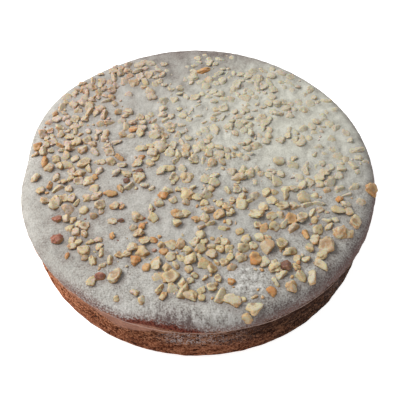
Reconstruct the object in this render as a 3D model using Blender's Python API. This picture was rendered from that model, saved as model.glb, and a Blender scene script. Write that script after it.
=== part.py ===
"""A whole round carrot cake under icing sugar, with chopped hazelnuts on its top, as one solid.

Run it with: blender --background --python part.py
Lengths are in metres and +Z is up. The origin is the centre of the flat base. +X is the right of the cake
and -Y its front. Azimuths are in degrees, counted from +X towards +Y, which is the back.
"""

import math
import random
from collections import namedtuple

import bmesh
import bpy
import numpy as np
from mathutils import Euler, Matrix, Vector, noise

# The sponge
RIM_RADIUS = 0.120  # at the lip, the widest circle
BASE_RADIUS = 0.1174
RIM_HEIGHT = 0.0504  # where the top runs into the shoulder
SHOULDER_RADIUS = 0.0108
BASE_EDGE_RADIUS = 0.0036
CROWN = 0.0016  # how far the middle of the top stands above RIM_HEIGHT
LIP_OVERHANG = 0.0016  # how far the lip stands out past the wall just under it
LIP_DROP = 0.0030  # the height in which the wall steps in under the lip

# How the baked sponge departs from a turned shape: (azimuth, half width in degrees, height in metres)
RIM_BULGES = ((148, 17, 0.0032), (178, 10, -0.0026), (52, 24, -0.0012))
TOP_SWELL = 0.0007  # height of the low swells on the top
TOP_SWELL_LENGTH = 0.034
WALL_CRAG = 0.0005  # depth of the crags on the wall
WALL_CRAG_LENGTH = 0.0075

# Facets
SECTORS = 80
WALL_ROWS = 6
SHOULDER_ROWS = 3
TOP_RINGS = (0.94, 0.70, 0.45, 0.20)  # radii, as shares of the flat top's

# The chopped nuts
NUT_COUNT = 640  # on the real cake; the solid carries the largest of them
SOLID_NUTS = 190
NUT_SEED = 41
LARGEST_NUT = 0.0106
SMALLEST_NUT = 0.0054
SIZE_FALL = 0.90  # under 1, sizes fall fast from the largest
NUT_SPACING = 0.64  # of the mean of two nuts' lengths; under 1, neighbours may touch
CLUMPING = 0.52  # share of the nuts that fall close beside another
TOP_SLANT = 0.42  # how far a chopped top leans, as a slope
SIDE_CUT = (0.70, 1.00)  # how far out the sides are chopped off, as shares of the uncut piece's reach
# How a piece swells and sinks: lumps in its half length, and their height as a share of its reach
NUT_LUMPS = ((0.9, 0.40), (1.9, 0.34))

# Kinds of piece: share of all, half width, half thickness, level faces above and below, tilt in degrees and
# number of chopped sides. Widths, thicknesses and levels are shares of the length.
Kind = namedtuple("Kind", "share width thickness above below tilt sides")
NUT_KINDS = {
    "chip": Kind(0.34, 0.44, 0.28, 0.15, 0.12, 22, 4),
    "flake": Kind(0.24, 0.45, 0.20, 0.10, 0.08, 24, 3),
    "wedge": Kind(0.14, 0.40, 0.34, 0.24, 0.12, 22, 3),
    "dome": Kind(0.12, 0.46, 0.30, 0.30, 0.04, 20, 2),
    "cup": Kind(0.12, 0.45, 0.28, 0.12, 0.16, 22, 3),
    "sliver": Kind(0.04, 0.22, 0.24, 0.18, 0.12, 12, 3),
}
RIDGE_SLOPE = (35, 62)  # degrees from level of the two faces that meet in a wedge's ridge
RIDGE_REACH = (0.10, 0.20)  # of the length, how far those faces lie from the centre
SINK = (0.20, 0.36)  # of a nut's height, how far it is sunk in
DEEPER = 0.06  # how much further it is sunk in where the sugar lies heaviest

# Where the nuts lie thick and thin: (x, y, radius of the patch in metres, how many times as many)
PATCHES = (
    (-0.076, 0.003, 0.012, 1.1),
    (-0.098, 0.040, 0.013, 2.2),
    (-0.088, 0.060, 0.013, 2.6),
    (-0.070, 0.050, 0.012, 1.6),
    (-0.074, 0.074, 0.014, 3.0),
    (-0.050, 0.084, 0.016, 3.0),
    (-0.030, 0.090, 0.010, 1.6),
    (-0.038, 0.032, 0.009, 1.6),
    (-0.024, 0.027, 0.009, 1.4),
    (0.040, 0.075, 0.016, 1.4),
    (0.066, 0.055, 0.018, 1.4),
    (0.088, 0.030, 0.016, 1.5),
    (0.074, 0.004, 0.014, 1.6),
    (0.036, 0.040, 0.012, 1.3),
    (0.012, -0.014, 0.010, 1.7),
    (0.028, -0.034, 0.011, 1.1),
    (0.045, -0.042, 0.010, 1.2),
    (0.072, -0.012, 0.010, 1.8),
    (0.072, -0.030, 0.010, 1.1),
    (0.096, -0.014, 0.010, 2.0),
    (0.090, -0.038, 0.012, 1.1),
    (-0.008, -0.084, 0.011, 2.6),
    (0.008, -0.072, 0.010, 2.6),
    (-0.020, -0.074, 0.009, 1.9),
    (-0.069, -0.068, 0.009, 1.6),
    (0.042, -0.071, 0.009, 1.2),
    (0.010, 0.103, 0.010, 1.6),
    (-0.052, -0.028, 0.020, 0.40),
    (-0.082, -0.034, 0.020, 0.55),
    (-0.018, -0.034, 0.016, 0.50),
    (-0.041, 0.054, 0.010, 0.10),
    (-0.062, 0.028, 0.008, 0.25),
    (-0.046, 0.014, 0.009, 0.15),
    (-0.028, -0.014, 0.009, 0.20),
    (-0.014, -0.054, 0.009, 0.10),
    (0.010, -0.054, 0.007, 0.35),
    (-0.048, -0.062, 0.009, 0.10),
    (0.031, -0.088, 0.011, 0.05),
    (-0.035, -0.090, 0.009, 0.05),
    (0.060, -0.058, 0.009, 0.15),
    (0.074, -0.052, 0.006, 0.20),
    (0.067, -0.072, 0.005, 0.20),
    (0.085, -0.066, 0.008, 0.10),
    (0.112, 0.008, 0.010, 0.40),
    (-0.108, -0.008, 0.008, 0.25),
    (0.016, 0.022, 0.009, 0.25),
    (0.046, 0.006, 0.008, 0.35),
    (0.000, 0.062, 0.010, 0.40),
    (-0.008, 0.000, 0.007, 0.40),
)
# The rim is bare, most at the front left: azimuths and how far from the axis nuts lie there
NUT_REACHES = ((-180, 0.114), (-165, 0.111), (-152, 0.098), (-125, 0.103), (-105, 0.103), (-88, 0.105))
NUT_REACHES += ((-74, 0.112), (-62, 0.104), (-45, 0.108), (-25, 0.112), (0, 0.114), (40, 0.111), (60, 0.109))
NUT_REACHES += ((100, 0.109), (120, 0.112), (150, 0.114), (168, 0.111), (180, 0.114))

# Pieces that catch the eye, each at its own place: (x, y, length, yaw, kind)
LANDMARK_NUTS = (
    (0.1134, -0.0218, 0.0112, 60, "cup"),
    (0.0205, -0.1044, 0.0122, 2, "flake"),
    (0.0128, -0.1015, 0.0115, 70, "wedge"),
    (0.0324, -0.1084, 0.0112, 118, "flake"),
    (0.0282, -0.1140, 0.0082, 12, "flake"),
    (0.0265, -0.1035, 0.0050, 140, "chip"),
    (0.0335, -0.1020, 0.0062, 30, "sliver"),
    (0.0026, -0.1024, 0.0068, 40, "chip"),
    (-0.0085, -0.0990, 0.0100, 62, "wedge"),
    (-0.0220, -0.0970, 0.0090, 60, "wedge"),
    (-0.0154, -0.0887, 0.0106, 95, "cup"),
    (-0.0862, -0.0618, 0.0092, 20, "dome"),
    (-0.0800, -0.0540, 0.0066, 40, "chip"),
    (-0.0768, -0.0674, 0.0072, 10, "chip"),
    (-0.0700, -0.0580, 0.0090, 112, "sliver"),
    (-0.0690, -0.0708, 0.0090, 130, "chip"),
    (-0.0630, -0.0776, 0.0098, 110, "wedge"),
    (-0.0585, -0.0722, 0.0080, 95, "wedge"),
    (-0.0570, -0.0812, 0.0048, 0, "chip"),
    (-0.0790, -0.0740, 0.0062, 70, "sliver"),
    (-0.0625, -0.0912, 0.0074, 60, "chip"),
    (-0.0577, -0.0890, 0.0072, 15, "chip"),
    (-0.0490, -0.0884, 0.0100, 50, "cup"),
    (-0.0470, -0.1027, 0.0056, 0, "chip"),
    (-0.0363, -0.0986, 0.0068, 30, "chip"),
    (-0.0318, -0.1040, 0.0066, 80, "chip"),
    (-0.0375, -0.0776, 0.0078, 10, "dome"),
    (-0.0305, -0.0822, 0.0068, 60, "chip"),
    (-0.0427, -0.0730, 0.0088, 20, "sliver"),
    (0.0200, -0.0918, 0.0054, 160, "dome"),
    (0.0435, -0.0986, 0.0074, 30, "dome"),
    (0.0552, -0.0952, 0.0088, 120, "dome"),
    (0.0530, -0.0816, 0.0096, 140, "dome"),
    (0.0612, -0.0885, 0.0086, 120, "wedge"),
    (0.0685, -0.0885, 0.0112, 78, "wedge"),
    (0.0745, -0.0800, 0.0106, 135, "wedge"),
    (-0.0823, -0.0400, 0.0102, 118, "flake"),
    (-0.0904, -0.0335, 0.0096, 120, "chip"),
    (-0.0885, -0.0462, 0.0078, 20, "chip"),
    (-0.0657, -0.0450, 0.0068, 0, "chip"),
    (-0.0486, -0.0486, 0.0062, 10, "wedge"),
    (-0.0560, -0.0276, 0.0092, 5, "wedge"),
    (-0.0345, -0.0530, 0.0064, 60, "dome"),
    (-0.0384, 0.0029, 0.0054, 0, "dome"),
    (-0.0862, 0.0120, 0.0094, 45, "cup"),
    (0.0034, 0.0887, 0.0130, 28, "sliver"),
    (0.1075, 0.0102, 0.0122, 15, "sliver"),
    (-0.0968, -0.0200, 0.0088, 80, "wedge"),
    (-0.0912, -0.0233, 0.0092, 40, "wedge"),
    (-0.0977, -0.0322, 0.0080, 20, "chip"),
    (-0.0864, -0.0306, 0.0086, 130, "cup"),
    (-0.0909, -0.0354, 0.0105, 10, "flake"),
    (-0.0940, 0.0147, 0.0092, 150, "wedge"),
    (-0.0887, 0.0156, 0.0074, 20, "chip"),
    (-0.1096, 0.0138, 0.0080, 60, "dome"),
    (-0.1029, 0.0004, 0.0112, 88, "sliver"),
    (-0.0778, 0.0102, 0.0084, 80, "dome"),
    (-0.0759, -0.0013, 0.0108, 25, "cup"),
    (-0.0529, 0.0031, 0.0086, 150, "wedge"),
    (-0.0579, -0.0013, 0.0080, 30, "chip"),
    (-0.0504, -0.0039, 0.0092, 165, "wedge"),
    (-0.0385, -0.0142, 0.0098, 60, "chip"),
    (-0.0468, -0.0167, 0.0056, 10, "chip"),
    (-0.0446, -0.0217, 0.0084, 50, "wedge"),
    (-0.0387, -0.0091, 0.0058, 0, "chip"),
    (-0.0190, -0.0056, 0.0100, 170, "wedge"),
    (-0.0076, -0.0142, 0.0098, 20, "dome"),
    (-0.0155, -0.0142, 0.0078, 60, "cup"),
    (-0.0068, -0.0282, 0.0108, 75, "dome"),
    (-0.0222, -0.0298, 0.0072, 0, "dome"),
    (-0.0157, -0.0330, 0.0070, 140, "chip"),
    (-0.0123, -0.0440, 0.0088, 90, "dome"),
    (-0.0128, -0.0502, 0.0090, 85, "chip"),
    (-0.0620, -0.0370, 0.0088, 10, "cup"),
    (-0.0719, -0.0401, 0.0076, 60, "chip"),
    (-0.0709, -0.0306, 0.0078, 85, "dome"),
    (-0.0723, -0.0175, 0.0098, 30, "flake"),
    (-0.0680, -0.0142, 0.0062, 60, "chip"),
    (-0.0294, -0.0401, 0.0086, 95, "sliver"),
    (-0.0450, 0.0286, 0.0078, 30, "chip"),
    (-0.0388, 0.0305, 0.0080, 100, "chip"),
    (-0.0262, 0.0277, 0.0084, 150, "chip"),
    (-0.0385, 0.0111, 0.0094, 170, "wedge"),
    (-0.0256, 0.0120, 0.0106, 60, "dome"),
    (0.0279, -0.0142, 0.0108, 10, "dome"),
    (0.0593, -0.0471, 0.0098, 100, "cup"),
    (0.0663, -0.0456, 0.0104, 50, "cup"),
    (0.0698, -0.0362, 0.0092, 20, "wedge"),
    (0.0691, -0.0298, 0.0104, 70, "flake"),
    (0.0890, -0.0401, 0.0100, 95, "flake"),
    (0.0914, -0.0314, 0.0062, 0, "dome"),
    (0.0992, -0.0486, 0.0102, 140, "cup"),
    (0.0887, -0.0577, 0.0094, 0, "dome"),
    (0.0753, -0.0554, 0.0088, 20, "chip"),
    (0.0676, -0.0584, 0.0088, 110, "wedge"),
    (0.0685, -0.0680, 0.0080, 95, "chip"),
    (0.0784, -0.0665, 0.0126, 20, "cup"),
    (0.0520, -0.0440, 0.0078, 0, "dome"),
    (0.0369, -0.0440, 0.0114, 160, "flake"),
    (0.0277, -0.0362, 0.0096, 80, "chip"),
    (0.0194, -0.0378, 0.0088, 0, "cup"),
    (0.0136, -0.0440, 0.0080, 20, "dome"),
    (0.0298, -0.0629, 0.0090, 95, "dome"),
    (0.0159, -0.0539, 0.0084, 165, "wedge"),
    (0.0419, -0.0547, 0.0078, 10, "chip"),
    (0.0417, -0.0694, 0.0106, 10, "flake"),
    (0.0561, -0.0715, 0.0088, 30, "dome"),
    (0.0353, -0.0758, 0.0100, 0, "cup"),
)

EDGE_SHARPNESS = 9  # how crisply the chopped faces of a piece meet

CRUST_COLOUR = (0.42, 0.34, 0.25)  # linear
CRUST_ROUGHNESS = 0.85

Nut = namedtuple("Nut", "x y length yaw kind")


def clear_scene():
    for obj in list(bpy.data.objects):
        bpy.data.objects.remove(obj)


def angle_between(a, b):
    """The smaller angle between two azimuths, in degrees."""
    return abs((a - b + 180) % 360 - 180)


def rim_bulge(azimuth):
    """How far the rim stands out of its circle at this azimuth."""
    return sum(
        height * math.exp(-((angle_between(azimuth, centre) / width) ** 2))
        for centre, width, height in RIM_BULGES
    )


def top_height(x, y):
    """The height of the sponge's top at (x, y), within the shoulder."""
    share = math.hypot(x, y) / RIM_RADIUS
    swell = noise.noise(Vector((x, y, 0)) / TOP_SWELL_LENGTH)
    fade = max(0.0, 1 - share**4)
    return RIM_HEIGHT + CROWN * (1 - share**2) * fade + TOP_SWELL * swell * fade


def shoulder_height(radius):
    """How far the rounded shoulder has dropped below the top's edge at this radius."""
    out = radius - (RIM_RADIUS - SHOULDER_RADIUS)
    if out <= 0:
        return 0.0
    return SHOULDER_RADIUS - math.sqrt(max(0.0, SHOULDER_RADIUS**2 - min(out, SHOULDER_RADIUS) ** 2))


def surface_height(x, y):
    """The height of the sponge's top or shoulder at (x, y)."""
    bulge = rim_bulge(math.degrees(math.atan2(y, x)))
    return top_height(x, y) - shoulder_height(math.hypot(x, y) - bulge)


def outline():
    """The turned outline as (radius, height, crag share), from the base's edge up over the shoulder."""
    points = []
    for i in range(3):
        turn = math.radians(90 * i / 2)
        points.append(
            (
                BASE_RADIUS - BASE_EDGE_RADIUS * (1 - math.sin(turn)),
                BASE_EDGE_RADIUS * (1 - math.cos(turn)),
                0.0 if i == 0 else 0.6,
            )
        )
    lip_height = RIM_HEIGHT - SHOULDER_RADIUS
    wall_top = lip_height - LIP_DROP
    for i in range(1, WALL_ROWS + 1):
        share = i / WALL_ROWS
        radius = BASE_RADIUS + (RIM_RADIUS - LIP_OVERHANG - BASE_RADIUS) * share
        height = BASE_EDGE_RADIUS + (wall_top - BASE_EDGE_RADIUS) * share
        points.append((radius, height, 1.0))
    for i in range(SHOULDER_ROWS + 1):
        turn = math.radians(90 * i / SHOULDER_ROWS)
        points.append(
            (
                RIM_RADIUS - SHOULDER_RADIUS * (1 - math.cos(turn)),
                lip_height + SHOULDER_RADIUS * math.sin(turn),
                0.35 * (1 - i / SHOULDER_ROWS),
            )
        )
    return points


def sponge_mesh():
    """The bare sponge: a flat base, a craggy wall, a lip, a rounded shoulder and a swelling top."""
    mesh = bmesh.new()
    rings = []
    lip_height = RIM_HEIGHT - SHOULDER_RADIUS
    for radius, height, crag in outline():
        ring = []
        for sector in range(SECTORS):
            azimuth = 360 * sector / SECTORS
            turn = math.radians(azimuth)
            place = Vector((radius * math.cos(turn), radius * math.sin(turn), height))
            dent = noise.noise(place / WALL_CRAG_LENGTH) * WALL_CRAG * crag
            reach = radius + dent + rim_bulge(azimuth) * min(1.0, height / lip_height)
            x, y = reach * math.cos(turn), reach * math.sin(turn)
            swell = top_height(x, y) - RIM_HEIGHT if height > lip_height else 0.0
            ring.append(mesh.verts.new((x, y, height + swell)))
        rings.append(ring)
    flat_radius = RIM_RADIUS - SHOULDER_RADIUS
    for share in TOP_RINGS:
        ring = []
        for sector in range(SECTORS):
            azimuth = 360 * sector / SECTORS
            turn = math.radians(azimuth)
            reach = (flat_radius + rim_bulge(azimuth)) * share
            x, y = reach * math.cos(turn), reach * math.sin(turn)
            ring.append(mesh.verts.new((x, y, top_height(x, y))))
        rings.append(ring)
    for lower, upper in zip(rings, rings[1:]):
        for sector in range(SECTORS):
            after = (sector + 1) % SECTORS
            mesh.faces.new((lower[sector], lower[after], upper[after], upper[sector]))
    middle = mesh.verts.new((0, 0, top_height(0, 0)))
    base = mesh.verts.new((0, 0, 0))
    for sector in range(SECTORS):
        after = (sector + 1) % SECTORS
        mesh.faces.new((rings[-1][sector], rings[-1][after], middle))
        mesh.faces.new((rings[0][after], rings[0][sector], base))
    bmesh.ops.triangulate(mesh, faces=mesh.faces[:])
    return mesh


def surface_normal(x, y):
    """The outward normal of the sponge at (x, y), by differences."""
    step = 0.0005
    slope_x = (surface_height(x + step, y) - surface_height(x - step, y)) / (2 * step)
    slope_y = (surface_height(x, y + step) - surface_height(x, y - step)) / (2 * step)
    return Vector((-slope_x, -slope_y, 1)).normalized()


def nut_reach(azimuth):
    """How far from the axis nuts lie at this azimuth."""
    azimuths, reaches = zip(*NUT_REACHES)
    return float(np.interp(azimuth, azimuths, reaches)) + rim_bulge(azimuth)


def nut_density(x, y):
    """The chance, from 0 to 1, that a nut that falls at (x, y) stays there."""
    if math.hypot(x, y) > nut_reach(math.degrees(math.atan2(y, x))):
        return 0.0
    chance = 0.44 + 0.26 * noise.noise(Vector((x, y, 0.3)) / 0.011)
    chance += 0.18 * max(0.0, (-x - 0.3 * abs(y - 0.02)) / RIM_RADIUS)
    for patch_x, patch_y, patch_radius, times in PATCHES:
        chance *= times ** math.exp(-((math.hypot(x - patch_x, y - patch_y) / patch_radius) ** 4))
    return chance


def nut_spot(draw, placed, length):
    """A place to try for the next nut, often close beside another, so that they gather in clumps."""
    turn = draw.uniform(-math.pi, math.pi)
    if draw.random() < CLUMPING:
        other = draw.choice(placed)
        step = draw.uniform(NUT_SPACING, 1.0) * (length + other.length) / 2
        return other.x + step * math.cos(turn), other.y + step * math.sin(turn)
    reach = nut_reach(math.degrees(turn)) * math.sqrt(draw.random())
    return reach * math.cos(turn), reach * math.sin(turn)


def nut_places():
    """Every nut, the landmarks first and then the largest to the smallest."""
    draw = random.Random(NUT_SEED)
    placed = [Nut(*landmark) for landmark in LANDMARK_NUTS]
    kinds, shares = list(NUT_KINDS), [kind.share for kind in NUT_KINDS.values()]
    while len(placed) < NUT_COUNT:
        share = (len(placed) / NUT_COUNT) ** SIZE_FALL
        length = LARGEST_NUT + (SMALLEST_NUT - LARGEST_NUT) * share
        x, y = nut_spot(draw, placed, length)
        if draw.random() > nut_density(x, y):
            continue
        if all(
            math.hypot(x - other.x, y - other.y) > 0.98 * NUT_SPACING * (length + other.length) / 2
            for other in placed
        ):
            placed.append(Nut(x, y, length, draw.uniform(0, 360), draw.choices(kinds, shares)[0]))
    return placed


def heavy_sugar(x, y):
    """How heavily the sugar lies at (x, y), from 0 to 1: most at the back right."""
    share = min(1.0, max(0.0, (0.45 * x + y + 0.045) / 0.13))
    return share * share * (3 - 2 * share)


def nut_form(index, nut):
    """A nut piece as (half sizes, cuts, tilts, sink): a lumpy ellipsoid with its sides chopped off.

    Each cut is (normal, distance from the centre) in the piece's own axes. All draws come from its index.
    """
    draw = random.Random(NUT_SEED * 1000 + index)
    kind = NUT_KINDS[nut.kind]
    sizes = Vector((0.5, kind.width * draw.uniform(0.86, 1.08), kind.thickness)) * nut.length
    slants = (draw.uniform(-TOP_SLANT, TOP_SLANT), draw.uniform(-TOP_SLANT, TOP_SLANT))
    crown = Vector((*slants, 1)).normalized()
    cuts = [
        (crown, kind.above * draw.uniform(0.85, 1.25) * nut.length),
        (Vector((0, 0, -1)), kind.below * nut.length),
    ]
    start = draw.uniform(0, math.tau)
    for side in range(kind.sides):
        turn = start + (side + draw.uniform(-0.35, 0.35)) * math.tau / kind.sides
        normal = Vector((math.cos(turn), math.sin(turn), draw.uniform(-0.2, 0.8))).normalized()
        cuts.append((normal, (normal * sizes).length * draw.uniform(*SIDE_CUT)))
    if nut.kind == "wedge":
        for side in (-1, 1):
            slope = math.radians(draw.uniform(*RIDGE_SLOPE))
            normal = Vector((0, side * math.sin(slope), math.cos(slope)))
            cuts.append((normal, draw.uniform(*RIDGE_REACH) * nut.length))
    tilts = (draw.uniform(-kind.tilt, kind.tilt), draw.uniform(-kind.tilt, kind.tilt))
    return sizes, cuts, tilts, draw.uniform(*SINK) + DEEPER * heavy_sugar(nut.x, nut.y)


def nut_points(index, nut, directions):
    """The points of a piece in its own axes, one in each of the directions."""
    sizes, cuts, _, _ = nut_form(index, nut)
    points = []
    for direction in directions:
        shift = Vector((7.3 * index,) * 3)
        swell = sum(depth * noise.noise(direction * rate + shift) for rate, depth in NUT_LUMPS)
        point = direction * sizes * (1 + swell)
        press = sum(max(0.0, point.dot(normal) / reach) ** EDGE_SHARPNESS for normal, reach in cuts)
        points.append(point * (1 + press) ** (-1 / EDGE_SHARPNESS))
    return points


def nut_mesh(index, nut):
    """One nut piece as it lies on the sponge."""
    mesh = bmesh.new()
    bmesh.ops.create_icosphere(mesh, subdivisions=1, radius=1.0)
    mesh.transform(Euler((index, 2 * index, 3 * index)).to_matrix().to_4x4())
    places = nut_points(index, nut, [vert.co.copy() for vert in mesh.verts])
    for vert, place in zip(mesh.verts, places):
        vert.co = place
    _, _, tilts, sink = nut_form(index, nut)
    for tilt, axis in zip(tilts, "XY"):
        mesh.transform(Matrix.Rotation(math.radians(tilt), 4, axis))
    lay_nut(mesh, nut, sink)
    return mesh


def lay_nut(mesh, nut, sink):
    """Lays the piece on the sponge at its place, turned by its yaw and sunk in by a share of its height."""
    mesh.transform(Matrix.Rotation(math.radians(nut.yaw), 4, "Z"))
    lowest = min(vert.co.z for vert in mesh.verts)
    highest = max(vert.co.z for vert in mesh.verts)
    normal = surface_normal(nut.x, nut.y)
    lift = -lowest - sink * (highest - lowest)
    lean = Vector((0, 0, 1)).rotation_difference(normal).to_matrix().to_4x4()
    place = Vector((nut.x, nut.y, surface_height(nut.x, nut.y))) + normal * lift
    mesh.transform(Matrix.Translation(place) @ lean)


def add_object(name, mesh, collection):
    """An object called name, made of the bmesh, which is freed."""
    data = bpy.data.meshes.new(name)
    mesh.to_mesh(data)
    mesh.free()
    obj = bpy.data.objects.new(name, data)
    collection.objects.link(obj)
    return obj


def crust_material():
    """The sugared crust."""
    material = bpy.data.materials.new("sugared_crust")
    material.use_nodes = True
    shader = material.node_tree.nodes["Principled BSDF"]
    shader.inputs["Base Color"].default_value = (*CRUST_COLOUR, 1.0)
    shader.inputs["Roughness"].default_value = CRUST_ROUGHNESS
    shader.inputs["Metallic"].default_value = 0.0
    return material


def fuse_nuts(cake):
    """Joins the largest nuts to the sponge with one Boolean union."""
    nuts = bpy.data.collections.new("nuts")
    bpy.context.scene.collection.children.link(nuts)
    largest_first = sorted(enumerate(nut_places()), key=lambda numbered: -numbered[1].length)
    for index, nut in largest_first[:SOLID_NUTS]:
        add_object(f"nut_{index}", nut_mesh(index, nut), nuts)
    union = cake.modifiers.new("nuts", "BOOLEAN")
    union.operation = "UNION"
    union.operand_type = "COLLECTION"
    union.collection = nuts
    union.solver = "MANIFOLD"
    bpy.context.view_layer.objects.active = cake
    bpy.ops.object.modifier_apply(modifier=union.name)
    for obj in list(nuts.objects):
        bpy.data.objects.remove(obj)
    bpy.data.collections.remove(nuts)


def main():
    clear_scene()
    cake = add_object("cake", sponge_mesh(), bpy.context.scene.collection)
    cake.data.materials.append(crust_material())
    fuse_nuts(cake)


main()
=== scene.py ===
"""The looks of a round carrot cake: the browned sponge under icing sugar, and chopped hazelnuts on its top.

Lengths are in metres and +Z is up. The origin is the centre of the flat base, +X is the right of the cake
and -Y its front. Azimuths are in degrees, counted from +X towards +Y. The rule that places and cuts the nuts
is the solid model's own, so they lie where its nuts lie.
"""

import math
import random
from collections import namedtuple

import bmesh
import bpy
import numpy as np
from mathutils import Matrix, Vector, noise

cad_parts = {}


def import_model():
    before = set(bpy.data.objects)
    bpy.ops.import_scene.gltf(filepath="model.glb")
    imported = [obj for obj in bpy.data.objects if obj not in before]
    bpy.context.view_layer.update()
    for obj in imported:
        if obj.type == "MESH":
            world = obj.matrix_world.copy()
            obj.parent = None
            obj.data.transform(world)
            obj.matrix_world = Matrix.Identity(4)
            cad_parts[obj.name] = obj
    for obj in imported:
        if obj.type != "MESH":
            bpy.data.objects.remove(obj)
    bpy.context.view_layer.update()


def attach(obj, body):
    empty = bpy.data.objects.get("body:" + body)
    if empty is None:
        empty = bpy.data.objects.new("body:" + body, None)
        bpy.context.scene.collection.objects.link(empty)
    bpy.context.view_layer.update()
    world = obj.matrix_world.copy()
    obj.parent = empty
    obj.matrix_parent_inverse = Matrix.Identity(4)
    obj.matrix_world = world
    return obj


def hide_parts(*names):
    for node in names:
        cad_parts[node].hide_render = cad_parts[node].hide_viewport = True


# The sponge
RIM_RADIUS = 0.120  # at the lip, the widest circle
BASE_RADIUS = 0.1174
RIM_HEIGHT = 0.0504  # where the top runs into the shoulder
SHOULDER_RADIUS = 0.0108
BASE_EDGE_RADIUS = 0.0036
CROWN = 0.0016  # how far the middle of the top stands above RIM_HEIGHT
LIP_OVERHANG = 0.0016  # how far the lip stands out past the wall just under it
LIP_DROP = 0.0030  # the height in which the wall steps in under the lip
LIP_HEIGHT = RIM_HEIGHT - SHOULDER_RADIUS
FLAT_RADIUS = RIM_RADIUS - SHOULDER_RADIUS

# How the baked sponge departs from a turned shape: (azimuth, half width in degrees, height in metres)
RIM_BULGES = ((148, 17, 0.0032), (178, 10, -0.0026), (52, 24, -0.0012))
TOP_SWELL = 0.0007
TOP_SWELL_LENGTH = 0.034
WALL_CRAG = 0.0005
WALL_CRAG_LENGTH = 0.0075

# The sponge's mesh
TOP_CELLS = 196  # along each side of the square grid that is bent into the round top
SHOULDER_ROWS = 19
LIP_ROWS = 4
WALL_ROWS = 36
EDGE_ROWS = 5

# Finer relief of the sponge: depths and lengths
DRIFT_HEIGHT = 0.0007  # how high the sugar drifts against the nuts where it lies heaviest
SUGAR_LUMPS = ((0.00050, 0.0052), (0.00034, 0.0024))
CRUMB_RELIEF = ((0.0004, 0.0034), (0.0003, 0.0017))
WRINKLE_DEPTH = 0.0009
WRINKLE_LENGTH = 0.017
WRINKLE_SQUEEZE = 6.5  # how much closer the wrinkles lie up and down than along the wall
PORE_PITCH = 0.0034
PORE_REACH = 0.36  # of the pitch
PORE_DEPTH = 0.0011

# The chopped nuts
NUT_COUNT = 640
NUT_SEED = 41
LARGEST_NUT = 0.0106
SMALLEST_NUT = 0.0054
SIZE_FALL = 0.90
NUT_SPACING = 0.64
CLUMPING = 0.52  # share of the nuts that fall close beside another
TOP_SLANT = 0.42  # how far a chopped top leans, as a slope
SIDE_CUT = (0.70, 1.00)  # how far out the sides are chopped off, as shares of the uncut piece's reach
NUT_LUMPS = ((0.9, 0.40), (1.9, 0.34))  # lumps in a piece's half length, and their height as a share of it

# Kinds of piece: share of all, half width, half thickness, level faces above and below, tilt in degrees and
# number of chopped sides. Widths, thicknesses and levels are shares of the length.
Kind = namedtuple("Kind", "share width thickness above below tilt sides")
NUT_KINDS = {
    "chip": Kind(0.34, 0.44, 0.28, 0.15, 0.12, 22, 4),
    "flake": Kind(0.24, 0.45, 0.20, 0.10, 0.08, 24, 3),
    "wedge": Kind(0.14, 0.40, 0.34, 0.24, 0.12, 22, 3),
    "dome": Kind(0.12, 0.46, 0.30, 0.30, 0.04, 20, 2),
    "cup": Kind(0.12, 0.45, 0.28, 0.12, 0.16, 22, 3),
    "sliver": Kind(0.04, 0.22, 0.24, 0.18, 0.12, 12, 3),
}
RIDGE_SLOPE = (35, 62)  # degrees from level of the two faces that meet in a wedge's ridge
RIDGE_REACH = (0.10, 0.20)  # of the length, how far those faces lie from the centre
SINK = (0.20, 0.36)  # of a nut's height, how far it is sunk in
DEEPER = 0.06  # how much further it is sunk in where the sugar lies heaviest

# Where the nuts lie thick and thin: (x, y, radius of the patch in metres, how many times as many)
PATCHES = (
    (-0.076, 0.003, 0.012, 1.1),
    (-0.098, 0.040, 0.013, 2.2),
    (-0.088, 0.060, 0.013, 2.6),
    (-0.070, 0.050, 0.012, 1.6),
    (-0.074, 0.074, 0.014, 3.0),
    (-0.050, 0.084, 0.016, 3.0),
    (-0.030, 0.090, 0.010, 1.6),
    (-0.038, 0.032, 0.009, 1.6),
    (-0.024, 0.027, 0.009, 1.4),
    (0.040, 0.075, 0.016, 1.4),
    (0.066, 0.055, 0.018, 1.4),
    (0.088, 0.030, 0.016, 1.5),
    (0.074, 0.004, 0.014, 1.6),
    (0.036, 0.040, 0.012, 1.3),
    (0.012, -0.014, 0.010, 1.7),
    (0.028, -0.034, 0.011, 1.1),
    (0.045, -0.042, 0.010, 1.2),
    (0.072, -0.012, 0.010, 1.8),
    (0.072, -0.030, 0.010, 1.1),
    (0.096, -0.014, 0.010, 2.0),
    (0.090, -0.038, 0.012, 1.1),
    (-0.008, -0.084, 0.011, 2.6),
    (0.008, -0.072, 0.010, 2.6),
    (-0.020, -0.074, 0.009, 1.9),
    (-0.069, -0.068, 0.009, 1.6),
    (0.042, -0.071, 0.009, 1.2),
    (0.010, 0.103, 0.010, 1.6),
    (-0.052, -0.028, 0.020, 0.40),
    (-0.082, -0.034, 0.020, 0.55),
    (-0.018, -0.034, 0.016, 0.50),
    (-0.041, 0.054, 0.010, 0.10),
    (-0.062, 0.028, 0.008, 0.25),
    (-0.046, 0.014, 0.009, 0.15),
    (-0.028, -0.014, 0.009, 0.20),
    (-0.014, -0.054, 0.009, 0.10),
    (0.010, -0.054, 0.007, 0.35),
    (-0.048, -0.062, 0.009, 0.10),
    (0.031, -0.088, 0.011, 0.05),
    (-0.035, -0.090, 0.009, 0.05),
    (0.060, -0.058, 0.009, 0.15),
    (0.074, -0.052, 0.006, 0.20),
    (0.067, -0.072, 0.005, 0.20),
    (0.085, -0.066, 0.008, 0.10),
    (0.112, 0.008, 0.010, 0.40),
    (-0.108, -0.008, 0.008, 0.25),
    (0.016, 0.022, 0.009, 0.25),
    (0.046, 0.006, 0.008, 0.35),
    (0.000, 0.062, 0.010, 0.40),
    (-0.008, 0.000, 0.007, 0.40),
)
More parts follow.
